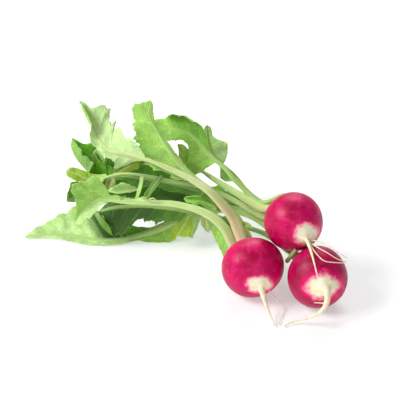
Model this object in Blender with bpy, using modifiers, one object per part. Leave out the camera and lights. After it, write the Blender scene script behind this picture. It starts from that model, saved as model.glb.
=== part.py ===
"""A small bunch of fresh garden radishes, lying on a flat surface.

Three round roots lie together with their tails towards -Y, the middle one on top of the other two.
Twelve leaves, four from each crown, run away towards -X and lie over each other.
Each root is one solid with its tail and rootlets, and each leaf is one solid with its stalk.

Frame: metres, +Z up, the surface at z = 0, the origin under the middle of the bunch.
"""

import math

import bmesh
import bpy
import numpy as np
from mathutils import Matrix, Vector

# Lengths below are in millimetres. to_world() turns them into metres and centres the bunch.
MM = 0.001
LAYOUT_SHIFT = (2.3, -2.1, 0.0)
GAP = 0.3

# Roots
BULB_STEPS = 26
PROFILE_STEPS = 13
CROWN_PLATE = 6.2
POINT_START = 6.0
POINT_LENGTH = 1.8
CROWN_RING = 3.7
ROOT_STEP = 3.0

# Leaves
BLADE_HALF = 0.40
EDGE_HALF = 0.35
STALK_STEP = 7.0
STALK_BASE = 0.8
STALK_BASE_LENGTH = 9.0
BLADE_STEP = 3.3
SWEEP = [(0.0, 0.35, 0.35)]
TOOTH_DEPTH = 0.10
TOOTH_LENGTH = 6.2
RUFFLE_HEIGHT = 1.3
RUFFLE_LENGTH = 19.0
FLOOR_SOFTNESS = 1.2
CORNER_ROUND = 1.5

# Each root: its middle, the way its tail points, its radius, how much taller than wide it is across
# its axis, and how far the crown and the tail end are from the middle. A root's own rootlets are
# routes with a radius at each end, and the first route is the tail.
BULBS = {
    "bulb_a": {
        "middle": (32.7, -33.2, 14.85),
        "tail": (0.29, -0.94, -0.16),
        "radius": 15.1,
        "taller": 1.0,
        "crown_end": 13.0,
        "tail_end": 13.2,
        "roots": [
            ([(35.4, -42.3, 13.2), (36.4, -46.0, 11.9), (38.0, -50.3, 7.5), (40.3, -54.8, 3.2),
              (42.3, -60.8, 0.9)], 2.3, 0.45),
            ([(39.0, -41.0, 8.5), (43.5, -44.0, 4.5), (47.5, -45.5, 1.4), (47.2, -50.0, 0.7),
              (45.4, -55.0, 0.7), (44.2, -59.8, 0.7)], 0.45, 0.38),
        ],
    },
    "bulb_b": {
        "middle": (52.1, -21.2, 33.1),
        "tail": (0.36, -0.93, -0.07),
        "radius": 14.2,
        "taller": 1.0,
        "crown_end": 13.3,
        "tail_end": 14.2,
        "roots": [
            ([(55.5, -30.0, 32.2), (57.0, -34.2, 32.3), (57.9, -37.6, 32.0), (58.7, -42.0, 31.3),
              (59.6, -47.5, 30.1), (60.6, -52.4, 27.6), (61.6, -56.2, 24.3)], 1.5, 0.42),
            ([(57.0, -31.5, 29.6), (59.5, -37.0, 31.0), (62.4, -41.5, 31.6), (66.6, -45.0, 31.0),
              (71.0, -46.7, 28.9), (75.6, -45.0, 26.0)], 0.5, 0.38),
            ([(57.4, -31.0, 29.8), (60.5, -35.0, 31.4), (64.0, -38.0, 32.3), (68.5, -41.0, 31.2),
              (73.0, -42.3, 28.5), (76.4, -41.5, 25.8)], 0.5, 0.38),
            ([(56.8, -31.5, 29.4), (59.0, -38.5, 30.9), (61.0, -44.5, 31.0), (64.4, -49.3, 29.8),
              (69.2, -49.3, 28.7), (75.0, -46.6, 26.6)], 0.5, 0.38),
        ],
    },
    "bulb_c": {
        "middle": (62.9, -41.2, 14.7),
        "tail": (0.24, -0.95, 0.11),
        "radius": 14.1,
        "taller": 1.06,
        "crown_end": 14.0,
        "tail_end": 13.6,
        "roots": [
            ([(65.5, -51.5, 16.6), (66.2, -56.3, 16.9), (65.8, -59.6, 13.3), (63.2, -60.2, 8.8),
              (58.5, -59.2, 4.6), (52.5, -58.2, 1.9), (48.6, -59.2, 0.9), (46.4, -61.6, 0.8)], 2.1, 0.45),
            ([(65.4, -59.0, 12.5), (62.8, -58.4, 12.4), (60.2, -57.2, 11.6)], 0.5, 0.38),
        ],
    },
}

# Each leaf: the root it grows from and its place round the crown, in degrees from the right and
# anticlockwise as seen from the leaves; half the width and the depth of its stalk; the route of its
# midrib beyond the crown; the way its upper face looks, at fractions of its length; half its width at
# fractions of its length, to its left and right; how far each half is raised from flat, in degrees,
# and how much further it curls; how far the edges run ahead of the midrib, as a share of the width;
# and how deep its teeth are against the usual ones.
LEAVES = {
    "leaf_a1": {
        "bulb": "bulb_a", "around": 100, "stalk": (3.1, 3.8),
        "route": [(24.4, -12.0, 27.4), (18.8, -7.5, 33.3), (12.6, -3.0, 38.3), (5.8, 2.0, 40.8),
                  (-1.5, 6.0, 42.9), (-16.8, 13.0, 46.3), (-29.3, 18.0, 47.2), (-37.4, 22.0, 47.0),
                  (-42.9, 27.0, 51.8), (-47.0, 33.0, 59.2), (-52.1, 38.0, 66.2)],
        "face": [(0.0, (0.0, -0.2, 1.0)), (0.5, (0.0, 0.2, 1.0)), (0.62, (0.0, 0.9, 0.1)),
                 (0.72, (0.1, 0.9, -0.3)), (1.0, (0.3, 0.9, -0.1))],
        "left": [(0.585, 2), (0.615, 9), (0.635, 10), (0.65, 7), (0.685, 13.5), (0.70, 11.5), (0.76, 13.5),
                 (0.80, 12), (0.82, 9), (0.87, 8.5), (0.905, 11), (0.925, 8), (0.94, 3.5), (1.0, 0.8)],
        "right": [(0.60, 2), (0.64, 4), (0.69, 11), (0.73, 4), (0.80, 4.5), (0.85, 5), (0.90, 6.5),
                  (0.95, 6), (0.98, 3), (1.0, 0.8)],
        "raise": [(0.6, 5, 5), (0.8, -5, 5), (0.86, 5, -60), (1.0, 20, -70)],
        "curl": [(0.0, 15, 15), (0.8, 15, 15), (0.87, 15, -100), (1.0, 15, -100)],
    },
    "leaf_a2": {
        "bulb": "bulb_a", "around": 12, "stalk": (2.6, 3.4),
        "route": [(26.4, -6.5, 23.6), (19.6, -0.2, 29.0), (13.2, 5.0, 33.6), (6.5, 10.0, 36.6),
                  (-0.6, 15.5, 40.7), (-7.2, 21.0, 47.0), (-12.0, 27.0, 52.3), (-17.4, 33.0, 60.0),
                  (-17.0, 38.0, 66.6)],
        "face": [(0.0, (0.0, -0.2, 1.0)), (0.5, (0.0, -0.3, 1.0)), (0.7, (-0.2, -0.7, 0.6)),
                 (1.0, (-0.3, -0.8, 0.3))],
        "left": [(0.50, 2), (0.56, 8), (0.59, 8), (0.65, 14), (0.70, 12.5), (0.77, 12.5), (0.83, 10.5),
                 (0.88, 8.5), (0.94, 8.5), (0.975, 5), (1.0, 0.8)],
        "right": [(0.56, 1.6), (0.66, 2.2), (0.88, 2), (0.95, 2.4), (1.0, 0.8)],
        "raise": [(0.5, 0, -35), (0.8, 8, -50), (1.0, 10, -20)], "curl": [(0.0, 10, 10)],
    },
    "leaf_a3": {
        "bulb": "bulb_a", "around": 188, "stalk": (2.9, 3.5),
        "route": [(20.2, -13.5, 23.0), (14.8, -9.0, 26.6), (7.6, -5.0, 28.8), (1.1, -2.0, 29.2),
                  (-6.6, 0.0, 29.7), (-16.8, 2.0, 28.9), (-30.1, 4.0, 28.1), (-39.6, 6.0, 28.0),
                  (-43.2, 7.0, 26.5), (-47.8, 7.5, 23.0), (-51.8, 7.5, 18.6), (-54.4, 7.0, 13.2)],
        "face": [(0.0, (0.0, -0.2, 1.0)), (0.75, (0.0, -0.1, 1.0)), (0.86, (-0.2, -0.4, 0.9)),
                 (1.0, (-0.4, -0.5, 0.8))],
        "left": [(0.76, 2.2), (0.80, 4), (0.86, 6), (0.93, 6), (0.975, 4), (1.0, 0.8)],
        "right": [(0.55, 2), (0.575, 4.2), (0.60, 2), (0.69, 2), (0.715, 4.5), (0.735, 2), (0.755, 2.5),
                  (0.775, 10), (0.80, 15), (0.84, 15), (0.87, 11), (0.90, 5.5), (0.93, 3), (0.97, 2),
                  (1.0, 0.8)],
        "raise": [(0.5, 10, 70), (0.75, -20, 80), (0.86, -15, 80), (0.93, -5, 70), (1.0, 0, 40)],
        "curl": [(0.0, 15, 10)], "sweep": [(0.0, 0.35, 0.0), (0.75, 0.35, -0.1), (0.88, 0.35, 0.05)],
    },
    "leaf_a4": {
        "bulb": "bulb_a", "around": 275, "stalk": (2.1, 2.8),
        "route": [(25.5, -13.0, 15.2), (20.0, -7.0, 18.2), (14.5, -2.5, 20.6), (8.0, 1.5, 22.4),
                  (-3.0, 5.5, 23.3), (-14.0, 8.5, 22.8), (-25.0, 10.5, 21.8), (-35.0, 12.0, 20.0),
                  (-43.0, 13.5, 16.5)],
        "face": [(0.0, (0.0, 0.0, 1.0)), (0.15, (-0.2, -0.3, 0.9)), (0.5, (0.0, -0.4, 0.9)),
                 (1.0, (-0.2, -0.6, 0.7))],
        "left": [(0.11, 2), (0.15, 5), (0.18, 10), (0.21, 14), (0.24, 11), (0.29, 7), (0.34, 2), (0.45, 2),
                 (0.50, 7), (0.56, 8.5), (0.64, 8), (0.70, 7), (0.75, 7.5), (0.79, 12), (0.84, 15),
                 (0.90, 14), (0.95, 10), (1.0, 0.8)],
        "right": [(0.14, 2), (0.19, 4), (0.24, 2), (0.60, 2), (0.68, 4), (0.80, 5), (0.92, 4), (1.0, 0.8)],
        "raise": [(0.0, -40, 20), (0.3, -50, 15), (0.45, -30, 10), (0.8, -25, 0), (1.0, -30, 0)],
        "curl": [(0.0, -15, -15)], "sweep": [(0.0, -0.6, 0.3), (0.34, -0.6, 0.3), (0.4, 0.2, 0.3)],
    },
    "leaf_b1": {
        "bulb": "bulb_b", "around": 82, "stalk": (1.9, 2.8), "teeth": 0.4,
        "route": [(41.3, 2.3, 29.2), (36.4, 7.0, 25.8), (33.0, 12.0, 26.0), (30.2, 16.0, 27.6),
                  (24.2, 21.0, 31.6), (20.3, 25.5, 34.5), (15.3, 30.0, 36.8), (9.2, 36.0, 40.3),
                  (3.7, 41.0, 43.9), (-3.5, 45.5, 45.4), (-10.7, 49.0, 45.8), (-16.9, 50.5, 47.9)],
        "face": [(0.0, (0.0, -0.2, 1.0)), (0.5, (0.0, -0.3, 1.0)), (0.72, (0.0, -0.5, 0.8)),
                 (1.0, (0.0, -0.4, 0.9))],
        "left": [(0.585, 1.6), (0.605, 9), (0.63, 13), (0.66, 16), (0.69, 15.5), (0.715, 11), (0.74, 5),
                 (0.80, 5), (0.85, 6), (0.90, 6.5), (0.95, 4), (1.0, 0.8)],
        "right": [(0.64, 1.6), (0.68, 6), (0.73, 13), (0.79, 15), (0.84, 14), (0.88, 10), (0.92, 5),
                  (0.96, 3), (1.0, 0.8)],
        "raise": [(0.5, -30, 20), (0.66, -14, 30), (0.71, 0, 30), (0.80, 0, 30), (0.88, -30, 30),
                  (1.0, -20, 10)],
        "curl": [(0.0, 15, 15), (0.68, 15, 60), (0.75, 15, 105), (0.88, 15, 105), (0.95, 15, 20)],
        "sweep": [(0.0, -0.4, 0.2), (0.8, -0.3, 0.15), (1.0, 0.0, 0.0)],
    },
    "leaf_b2": {
        "bulb": "bulb_b", "around": 205, "stalk": (2.9, 3.7), "teeth": 0.4,
        "route": [(41.5, -5.8, 30.6), (37.6, -0.5, 27.6), (32.2, 6.0, 27.3), (24.3, 14.0, 28.2),
                  (17.7, 20.5, 29.0), (11.8, 28.0, 29.1), (6.2, 35.5, 29.4), (1.1, 35.2, 36.2),
                  (-3.4, 34.5, 43.4)],
        "face": [(0.0, (0.0, -0.2, 1.0)), (0.6, (0.0, -0.2, 1.0)), (1.0, (0.4, -0.7, 0.5))],
        "left": [(0.80, 2.2), (0.86, 4), (0.92, 5.5), (0.97, 5), (1.0, 0.8)],
        "right": [(0.80, 2.2), (0.86, 2.2), (0.92, 2.6), (0.97, 2.4), (1.0, 0.8)],
        "raise": [(0.5, 0, 0), (0.88, 0, 0), (1.0, 35, 35)], "curl": [(0.0, 10, 10)],
    },
    "leaf_b3": {
        "bulb": "bulb_b", "around": 285, "stalk": (1.8, 2.6), "teeth": 0.3,
        "route": [(41.6, -1.5, 22.5), (35.4, 5.0, 20.8), (24.2, 14.5, 22.9), (12.7, 19.5, 25.6),
                  (3.7, 21.5, 27.2), (-7.4, 22.5, 28.9), (-17.4, 24.0, 30.7), (-30.1, 26.5, 30.9),
                  (-37.9, 28.5, 28.2), (-44.2, 30.0, 24.8), (-49.3, 31.0, 24.8), (-54.9, 32.0, 27.0),
                  (-60.5, 33.0, 28.7)],
        "face": [(0.0, (0.0, -0.2, 1.0)), (0.7, (0.0, -0.2, 1.0)), (0.86, (0.0, -0.6, 0.8)),
                 (1.0, (0.1, -0.7, 0.7))],
        "left": [(0.84, 1.6), (0.88, 3), (0.93, 3.6), (0.975, 3.4), (1.0, 2)],
        "right": [(0.82, 1.6), (0.86, 3), (0.91, 3.4), (0.96, 3.2), (0.985, 2.6), (1.0, 1.6)],
        "raise": [(0.7, 0, 10), (0.9, 5, 10), (1.0, 10, 15)],
        "curl": [(0.0, 10, 10)],
    },
    "leaf_b4": {
        "bulb": "bulb_b", "around": 8, "stalk": (1.9, 2.7), "teeth": 0.3,
        "route": [(42.2, 7.0, 24.6), (36.9, 14.5, 22.4), (31.2, 23.0, 23.0), (25.1, 33.0, 26.1),
                  (17.5, 43.0, 28.6), (13.4, 50.0, 31.1), (12.1, 55.0, 35.4), (11.4, 58.0, 41.4)],
        "face": [(0.0, (0.0, -0.2, 1.0)), (0.5, (0.1, -0.4, 1.0)), (1.0, (0.2, -0.8, 0.6))],
        "left": [(0.57, 1.6), (0.61, 5.5), (0.67, 6), (0.71, 1.6), (0.82, 1.8), (0.88, 2.6), (0.97, 2.6),
                 (1.0, 2)],
        "right": [(0.72, 1.6), (0.75, 5), (0.785, 8), (0.82, 9.3), (0.86, 9), (0.895, 7), (0.92, 2.5),
                  (0.97, 2.2), (1.0, 1.6)],
        "raise": [(0.4, -30, -10), (0.7, -30, -5), (0.8, 10, -5), (1.0, 20, 0)], "curl": [(0.0, 15, 15)],
        "sweep": [(0.0, 0.0, 0.1)],
    },
    "leaf_c1": {
        "bulb": "bulb_c", "around": 165, "stalk": (2.7, 3.5), "teeth": 0.3,
        "route": [(49.6, -12.5, 14.2), (40.5, 2.0, 16.0), (32.6, 7.5, 18.3), (22.7, 11.0, 19.0),
                  (11.7, 12.0, 18.2), (2.7, 12.5, 15.4), (-4.9, 13.2, 10.6), (-13.7, 14.0, 5.4),
                  (-23.8, 11.8, 2.6), (-33.3, 9.6, 1.2), (-43.0, 9.6, 1.0), (-53.3, 12.2, 1.2),
                  (-63.8, 14.8, 1.2), (-73.9, 14.8, 1.0), (-81.3, 13.0, 0.4)],
        "face": [(0.0, (0.0, -0.2, 1.0)), (0.3, (0.0, -0.4, 1.0)), (0.6, (0.0, -0.4, 1.0)),
                 (1.0, (0.0, -0.3, 1.0))],
        "left": [(0.375, 2.4), (0.39, 6), (0.405, 10), (0.42, 7), (0.437, 2.6), (0.45, 8), (0.465, 11),
                 (0.485, 12), (0.50, 10.5), (0.513, 6), (0.522, 2.6), (0.532, 7), (0.55, 10), (0.575, 10.5),
                 (0.605, 9), (0.63, 5), (0.645, 2.4), (0.66, 2.4), (0.72, 3), (0.80, 4.5), (0.90, 3),
                 (0.96, 2), (1.0, 0.8)],
        "right": [(0.31, 2.4), (0.35, 3.2), (0.40, 2.4), (0.46, 5), (0.52, 3), (0.60, 2.4), (0.63, 5),
                  (0.67, 10), (0.71, 14), (0.77, 18), (0.81, 18), (0.83, 17), (0.855, 12), (0.885, 9.5),
                  (0.92, 7.5), (0.955, 5), (1.0, 0.8)],
        "raise": [(0.3, -55, 10), (0.6, -48, 0), (0.68, -25, 5), (0.8, -20, 25), (0.88, -20, 22),
                  (1.0, -20, 5)],
        "curl": [(0.0, 12, 12)], "sweep": [(0.3, 0.0, 0.35), (0.6, 0.15, 0.35), (0.7, 0.35, 0.35)],
    },
    "leaf_c2": {
        "bulb": "bulb_c", "around": 88, "stalk": (2.2, 3.0), "teeth": 0.6,
        "route": [(58.5, -15.5, 13.6), (48.0, 6.0, 13.0), (35.0, 17.0, 16.0), (17.9, 23.0, 19.2),
                  (2.1, 28.0, 22.0), (-13.7, 32.0, 23.8), (-30.2, 35.5, 24.0), (-37.5, 37.5, 23.3),
                  (-43.8, 39.0, 22.3), (-48.5, 40.5, 22.4), (-52.6, 42.0, 26.2), (-56.1, 43.0, 30.9),
                  (-58.2, 44.0, 36.7), (-57.5, 44.5, 41.0)],
        "face": [(0.0, (0.0, -0.2, 1.0)), (0.7, (0.0, -0.5, 0.9)), (0.82, (0.3, -0.4, 0.9)),
                 (0.90, (0.85, -0.3, 0.5)), (1.0, (0.9, -0.3, 0.3))],
        "left": [(0.42, 2), (0.45, 5), (0.48, 3), (0.52, 6), (0.56, 3.5), (0.61, 6.5), (0.65, 3.5),
                 (0.69, 6.5), (0.73, 6), (0.755, 2.5), (0.79, 2.2), (0.83, 5), (0.87, 8.5), (0.92, 10),
                 (0.96, 9), (0.985, 6), (1.0, 2)],
        "right": [(0.40, 2), (0.45, 6), (0.49, 3), (0.54, 7), (0.59, 4), (0.64, 8), (0.70, 8), (0.76, 5),
                  (0.79, 4), (0.82, 9), (0.86, 14), (0.91, 17), (0.95, 15), (0.98, 9), (1.0, 3)],
        "raise": [(0.4, -50, 55), (0.5, -75, 55), (0.75, -75, 55), (0.82, 20, 50), (0.88, 60, 55),
                  (1.0, 60, 55)],
        "curl": [(0.0, -8, -10), (0.82, 10, 10)],
        "sweep": [(0.0, 0.1, 0.35), (0.8, 0.1, 0.35), (0.86, 0.1, 0.0)],
    },
    "leaf_c3": {
        "bulb": "bulb_c", "around": 5, "stalk": (2.0, 2.8),
        "route": [(62.5, -14.0, 11.4), (53.0, 12.0, 8.5), (37.0, 25.0, 8.5), (18.0, 33.0, 10.0),
                  (0.0, 39.0, 12.4), (-18.0, 42.5, 14.8), (-34.0, 41.5, 15.2), (-47.0, 36.5, 15.0),
                  (-54.5, 32.0, 15.6), (-60.5, 28.5, 13.2)],
        "face": [(0.0, (0.0, -0.2, 1.0)), (0.35, (0.0, -0.5, 0.8)), (0.5, (0.0, -0.9, 0.45)),
                 (1.0, (-0.4, -0.8, 0.45))],
        "left": [(0.40, 1.8), (0.46, 3), (0.50, 2.5), (0.58, 8), (0.68, 9), (0.78, 7.5), (0.86, 4),
                 (0.92, 6), (0.96, 6.5), (1.0, 0.8)],
        "right": [(0.38, 1.8), (0.45, 6), (0.51, 4), (0.58, 9), (0.65, 13), (0.72, 12), (0.78, 13),
                  (0.83, 7), (0.87, 4.5), (0.92, 6.5), (0.96, 6.5), (1.0, 0.8)],
        "raise": [(0.4, -10, 10), (1.0, 5, 5)], "curl": [(0.0, 12, 12)],
    },
    "leaf_c4": {
        "bulb": "bulb_c", "around": 270, "stalk": (2.0, 2.8),
        "route": [(53.0, -11.0, 7.4), (40.0, 9.0, 6.2), (23.0, 22.5, 3.6), (8.0, 36.0, 0.8),
                  (-6.0, 46.5, -1.5), (-21.0, 53.5, -3.0), (-37.0, 57.0, -1.5), (-50.0, 58.0, 1.0)],
        "face": [(0.0, (0.0, 0.0, 1.0)), (1.0, (0.0, 0.1, 1.0))],
        "left": [(0.36, 1.8), (0.43, 5), (0.50, 3), (0.58, 7), (0.68, 9), (0.78, 9), (0.88, 7), (0.95, 5),
                 (1.0, 0.8)],
        "right": [(0.42, 1.8), (0.47, 4), (0.52, 2.5), (0.60, 8), (0.70, 10.6), (0.80, 10.7), (0.90, 8.5),
                  (0.96, 5), (1.0, 0.8)],
        "raise": [(0.3, 0, 0), (1.0, 5, 8)], "curl": [(0.0, 8, 8)],
    },
}

SKIN = (0.52, 0.010, 0.115)
LEAF_GREEN = (0.16, 0.36, 0.055)


def to_world(point):
    """A layout point in millimetres as a point of the part in metres."""
    return Vector([(value + shift) * MM for value, shift in zip(point, LAYOUT_SHIFT)])


def smooth_route(points, per_span=12):
    """Points of a smooth curve that runs through the given ones."""
    points = np.array(points, float)
    padded = np.vstack([2 * points[0] - points[1], points, 2 * points[-1] - points[-2]])
    curve = []
    for before, start, end, after in zip(padded, padded[1:], padded[2:], padded[3:]):
        for step in range(per_span):
            t = step / per_span
            curve.append(0.5 * (2 * start + (end - before) * t
                                + (2 * before - 5 * start + 4 * end - after) * t ** 2
                                + (3 * start - before - 3 * end + after) * t ** 3))
    curve.append(points[-1])
    return np.array(curve)


def lengths_along(curve):
    """The distance of each point of a curve from its start."""
    steps = np.linalg.norm(np.diff(curve, axis=0), axis=1)
    return np.concatenate([[0.0], np.cumsum(steps)])


def unit(vector):
    return vector / np.linalg.norm(vector)


def crown_axes(bulb):
    """A root's crown direction, with the directions to the right and up across it."""
    out = -unit(np.array(bulb["tail"]))
    right = unit(np.cross(out, (0.0, 0.0, 1.0)))
    return out, right, np.cross(right, out)


def plate_height(bulb):
    """How far the flat plate of the crown is from a root's middle."""
    return bulb["crown_end"] * math.sqrt(1.0 - (CROWN_PLATE / bulb["radius"]) ** 2)


class LeafForm:
    """The middle surface of one leaf: a stalk that widens into a folded and ruffled blade."""

    def __init__(self, plan, number):
        bulb = BULBS[plan["bulb"]]
        out, right, up = crown_axes(bulb)
        angle = math.radians(plan["around"])
        spoke = right * math.cos(angle) + up * math.sin(angle)
        base = np.array(bulb["middle"]) + out * (plate_height(bulb) + GAP) + spoke * CROWN_RING
        shoot = base + out * 3.5 + spoke * 0.3
        self.plan = plan
        self.number = number
        self.curve = smooth_route([base, shoot] + plan["route"])
        self.reach = lengths_along(self.curve)
        self.length = self.reach[-1]
        self.heading = np.gradient(self.curve, self.reach, axis=0)
        self.heading[0] = out

    def between(self, column, distance):
        return np.array([np.interp(distance, self.reach, part) for part in column.T])

    def listed(self, rows, distance):
        """A value listed against fractions of the length, with its corners rounded."""
        where = [row[0] * self.length for row in rows]
        spots = [distance - CORNER_ROUND, distance, distance + CORNER_ROUND]
        return np.mean([np.interp(spots, where, [row[1] for row in rows])])

    def frame(self, distance):
        """Place, heading, upper-face direction and rightward direction at a distance."""
        heading = unit(self.between(self.heading, distance))
        fraction = distance / self.length
        where = [row[0] for row in self.plan["face"]]
        face = np.array([np.interp(fraction, where, [row[1][k] for row in self.plan["face"]])
                         for k in range(3)])
        face = unit(face - heading * face.dot(heading))
        return self.between(self.curve, distance), heading, face, np.cross(heading, face)

    def rib(self, distance):
        """Half the width and half the depth of the stalk or midrib."""
        width, depth = self.plan["stalk"]
        left = max(1.0 - distance / self.length, 0.0)
        base = min(STALK_BASE + (1.0 - STALK_BASE) * distance / STALK_BASE_LENGTH, 1.0)
        fade = 1.0 - 0.5 * min(max((1.0 - left - 0.62) / 0.15, 0.0), 1.0)
        return 0.5 + (width * base * left ** 0.8 - 0.5 * left) * fade, 0.5 + (depth / 2 - 0.5) * left

    def width(self, side, distance):
        """Half-width of the leaf to its left (side -1) or right (side 1)."""
        rows = self.plan["left"] if side < 0 else self.plan["right"]
        plain = self.listed(rows, distance)
        if distance < rows[0][0] * self.length:
            plain = 0.0
        beat = distance / TOOTH_LENGTH + 0.37 * self.number + 0.21 * side
        depth = TOOTH_DEPTH * self.plan.get("teeth", 1.0)
        tooth = 1.0 + depth * (2.0 * (beat % 1.0) - 1.0)
        return max(plain * tooth, self.rib(distance)[0])

    def sided(self, key, side, distance):
        """A value listed for the half on that side."""
        rows = self.plan.get(key, SWEEP)
        column = 1 if side < 0 else 2
        return np.interp(distance / self.length, [row[0] for row in rows], [row[column] for row in rows])

    def surface(self, side, across, distance):
        """Point and upper-face direction at a distance along and a length across on one side."""
        place, heading, face, right = self.frame(distance)
        width = self.width(side, distance)
        leafy = min(max((width - self.rib(distance)[0]) / 1.5, 0.0), 1.0)
        lift = math.radians(self.sided("raise", side, distance)) * leafy
        bend = math.radians(self.sided("curl", side, distance)) * leafy + 1e-6
        part = across / width
        turn = lift + bend * part
        out = width / bend * (math.sin(turn) - math.sin(lift))
        rise = width / bend * (math.cos(lift) - math.cos(turn))
        blade = min(max((width - 3.0) / 6.0, 0.0), 1.0)
        wave = math.sin(math.tau * distance / RUFFLE_LENGTH + 1.9 * self.number + 1.3 * side)
        rise += RUFFLE_HEIGHT * blade * part ** 2 * wave
        ahead = self.sided("sweep", side, distance) * blade * width * part ** 1.5
        point = place + right * side * out + face * rise + heading * ahead
        normal = face * math.cos(turn) - right * side * math.sin(turn)
        return point, normal

    def half_depth(self, across, distance):
        """Half the thickness at a length across from the midrib."""
        half_width, half_deep = self.rib(distance)
        inside = max(1.0 - (across / half_width) ** 2, 0.0)
        return max(BLADE_HALF, half_deep * math.sqrt(inside))

    def above_floor(self, point, depth):
        """A point eased up so that the leaf lies on the surface instead of passing through it."""
        height = (point[2] - depth) / FLOOR_SOFTNESS
        if height < 12.0:
            point = point.copy()
            point[2] = depth + FLOOR_SOFTNESS * math.log1p(math.exp(height))
        return point

    def section(self, distance):
        """The upper and the lower points of the leaf's section, from its left to its right edge."""
        half_width = self.rib(distance)[0]
        upper = []
        lower = []
        for side in (-1, 1):
            width = self.width(side, distance)
            shoulder = min(half_width, 0.62 * width)
            stops = [width, (shoulder + width) / 2, shoulder]
            if side > 0:
                stops = [0.0] + stops[::-1]
            for across in stops:
                point, normal = self.surface(side, across, distance)
                depth = EDGE_HALF if across == width else self.half_depth(across, distance)
                point = self.above_floor(point, depth)
                upper.append(point + normal * depth)
                lower.append(point - normal * depth)
        return upper, lower

    def stations(self):
        """Distances of the sections: close together on blade and lobes, further apart on the stalk."""
        distance = 0.0
        found = []
        while distance < self.length - BLADE_STEP / 2:
            found.append(distance)
            ahead = distance + BLADE_STEP
            leafy = max(self.width(-1, ahead), self.width(1, ahead)) > self.rib(ahead)[0] + 0.1
            distance += BLADE_STEP if leafy else STALK_STEP
        return found + [self.length]


def leaf_faces(sections, across):
    """Triangles over a row of sections, split alike on the upper and the lower face."""
    ring = 2 * across
    faces = []

    def top(row, column):
        return row * ring + column

    def under(row, column):
        return row * ring + across + column

    for row in range(sections - 1):
        for column in range(across - 1):
            faces.append((top(row, column), top(row, column + 1), top(row + 1, column + 1)))
            faces.append((top(row, column), top(row + 1, column + 1), top(row + 1, column)))
            faces.append((under(row + 1, column + 1), under(row, column + 1), under(row, column)))
            faces.append((under(row + 1, column), under(row + 1, column + 1), under(row, column)))
        left = (under(row, 0), top(row, 0), top(row + 1, 0), under(row + 1, 0))
        last = across - 1
        right = (top(row, last), under(row, last), under(row + 1, last), top(row + 1, last))
        for a, b, c, d in (left, right):
            faces.append((a, b, c))
            faces.append((a, c, d))
    for row, turned in ((0, False), (sections - 1, True)):
        for column in range(across - 1):
            corners = [top(row, column), under(row, column), under(row, column + 1), top(row, column + 1)]
            if turned:
                corners.reverse()
            faces.append(tuple(corners[:3]))
            faces.append((corners[0], corners[2], corners[3]))
    return faces


def make_material(name, colour, roughness):
    material = bpy.data.materials.new(name)
    material.use_nodes = True
    shader = material.node_tree.nodes["Principled BSDF"]
    shader.inputs["Base Color"].default_value = (*colour, 1.0)
    shader.inputs["Roughness"].default_value = roughness
    shader.inputs["Metallic"].default_value = 0.0
    return material


def make_leaf(name, plan, number, collection):
    form = LeafForm(plan, number)
    stations = form.stations()
    points = []
    across = 0
    for distance in stations:
        upper, lower = form.section(distance)
        across = len(upper)
        points += upper + lower
    mesh = bpy.data.meshes.new(name)
    mesh.from_pydata([to_world(point) for point in points], [], leaf_faces(len(stations), across))
    mesh.shade_smooth()
    leaf = bpy.data.objects.new(name, mesh)
    leaf.data.materials.append(make_material(name + "_green", LEAF_GREEN, 0.5))
    collection.objects.link(leaf)
    return leaf


def bulb_profile(bulb):
    """Half the outline of a root, from the middle of its crown plate down to its pointed end."""
    start = math.asin(CROWN_PLATE / bulb["radius"])
    outline = [(0.0, plate_height(bulb))]
    for step in range(PROFILE_STEPS):
        angle = start + (math.pi - start) * step / PROFILE_STEPS
        radius = bulb["radius"] * math.sin(angle)
        end = bulb["crown_end"] if angle < math.pi / 2 else bulb["tail_end"]
        height = end * math.cos(angle)
        if angle > math.pi / 2 and radius < POINT_START:
            height -= POINT_LENGTH * (1.0 - radius / POINT_START) ** 2
        outline.append((radius, height))
    outline.append((0.0, -bulb["tail_end"] - POINT_LENGTH))
    return outline


def make_root_tube(name, route, start_radius, end_radius, collection):
    """A tail or rootlet as a closed tube mesh that narrows along its route."""
    curve = smooth_route(route)
    reach = lengths_along(curve)
    count = max(4, round(reach[-1] / ROOT_STEP))
    data = bpy.data.curves.new(name, "CURVE")
    data.dimensions = "3D"
    data.bevel_depth = MM
    data.bevel_resolution = 2
    data.use_fill_caps = True
    spline = data.splines.new("POLY")
    spline.points.add(count)
    for index, point in enumerate(spline.points):
        part = index / count
        place = [np.interp(part * reach[-1], reach, column) for column in curve.T]
        point.co = (*to_world(place), 1.0)
        point.radius = end_radius + (start_radius - end_radius) * (1.0 - part) ** 2
    draft = bpy.data.objects.new(name + "_curve", data)
    collection.objects.link(draft)
    depsgraph = bpy.context.evaluated_depsgraph_get()
    mesh = bpy.data.meshes.new_from_object(draft.evaluated_get(depsgraph))
    weld_mesh(mesh)
    tube = bpy.data.objects.new(name, mesh)
    tube.matrix_world = draft.matrix_world
    bpy.data.objects.remove(draft)
    collection.objects.link(tube)
    hide_helper(tube)
    return tube


def weld_mesh(mesh):
    """Merge the points that a converted curve leaves double at its caps."""
    work = bmesh.new()
    work.from_mesh(mesh)
    bmesh.ops.remove_doubles(work, verts=work.verts, dist=0.00001)
    work.to_mesh(mesh)
    work.free()


def hide_helper(helper):
    helper.hide_render = True
    helper.display_type = "WIRE"


def make_floor_cutter(collection):
    """A block whose top is the surface that the bunch lies on."""
    bpy.ops.mesh.primitive_cube_add(size=1.0)
    block = bpy.context.object
    block.name = "floor_cutter"
    block.scale = (0.3, 0.3, 0.02)
    block.location = (0.0, 0.0, -0.01)
    for owner in list(block.users_collection):
        owner.objects.unlink(block)
    collection.objects.link(block)
    hide_helper(block)
    return block


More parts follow.
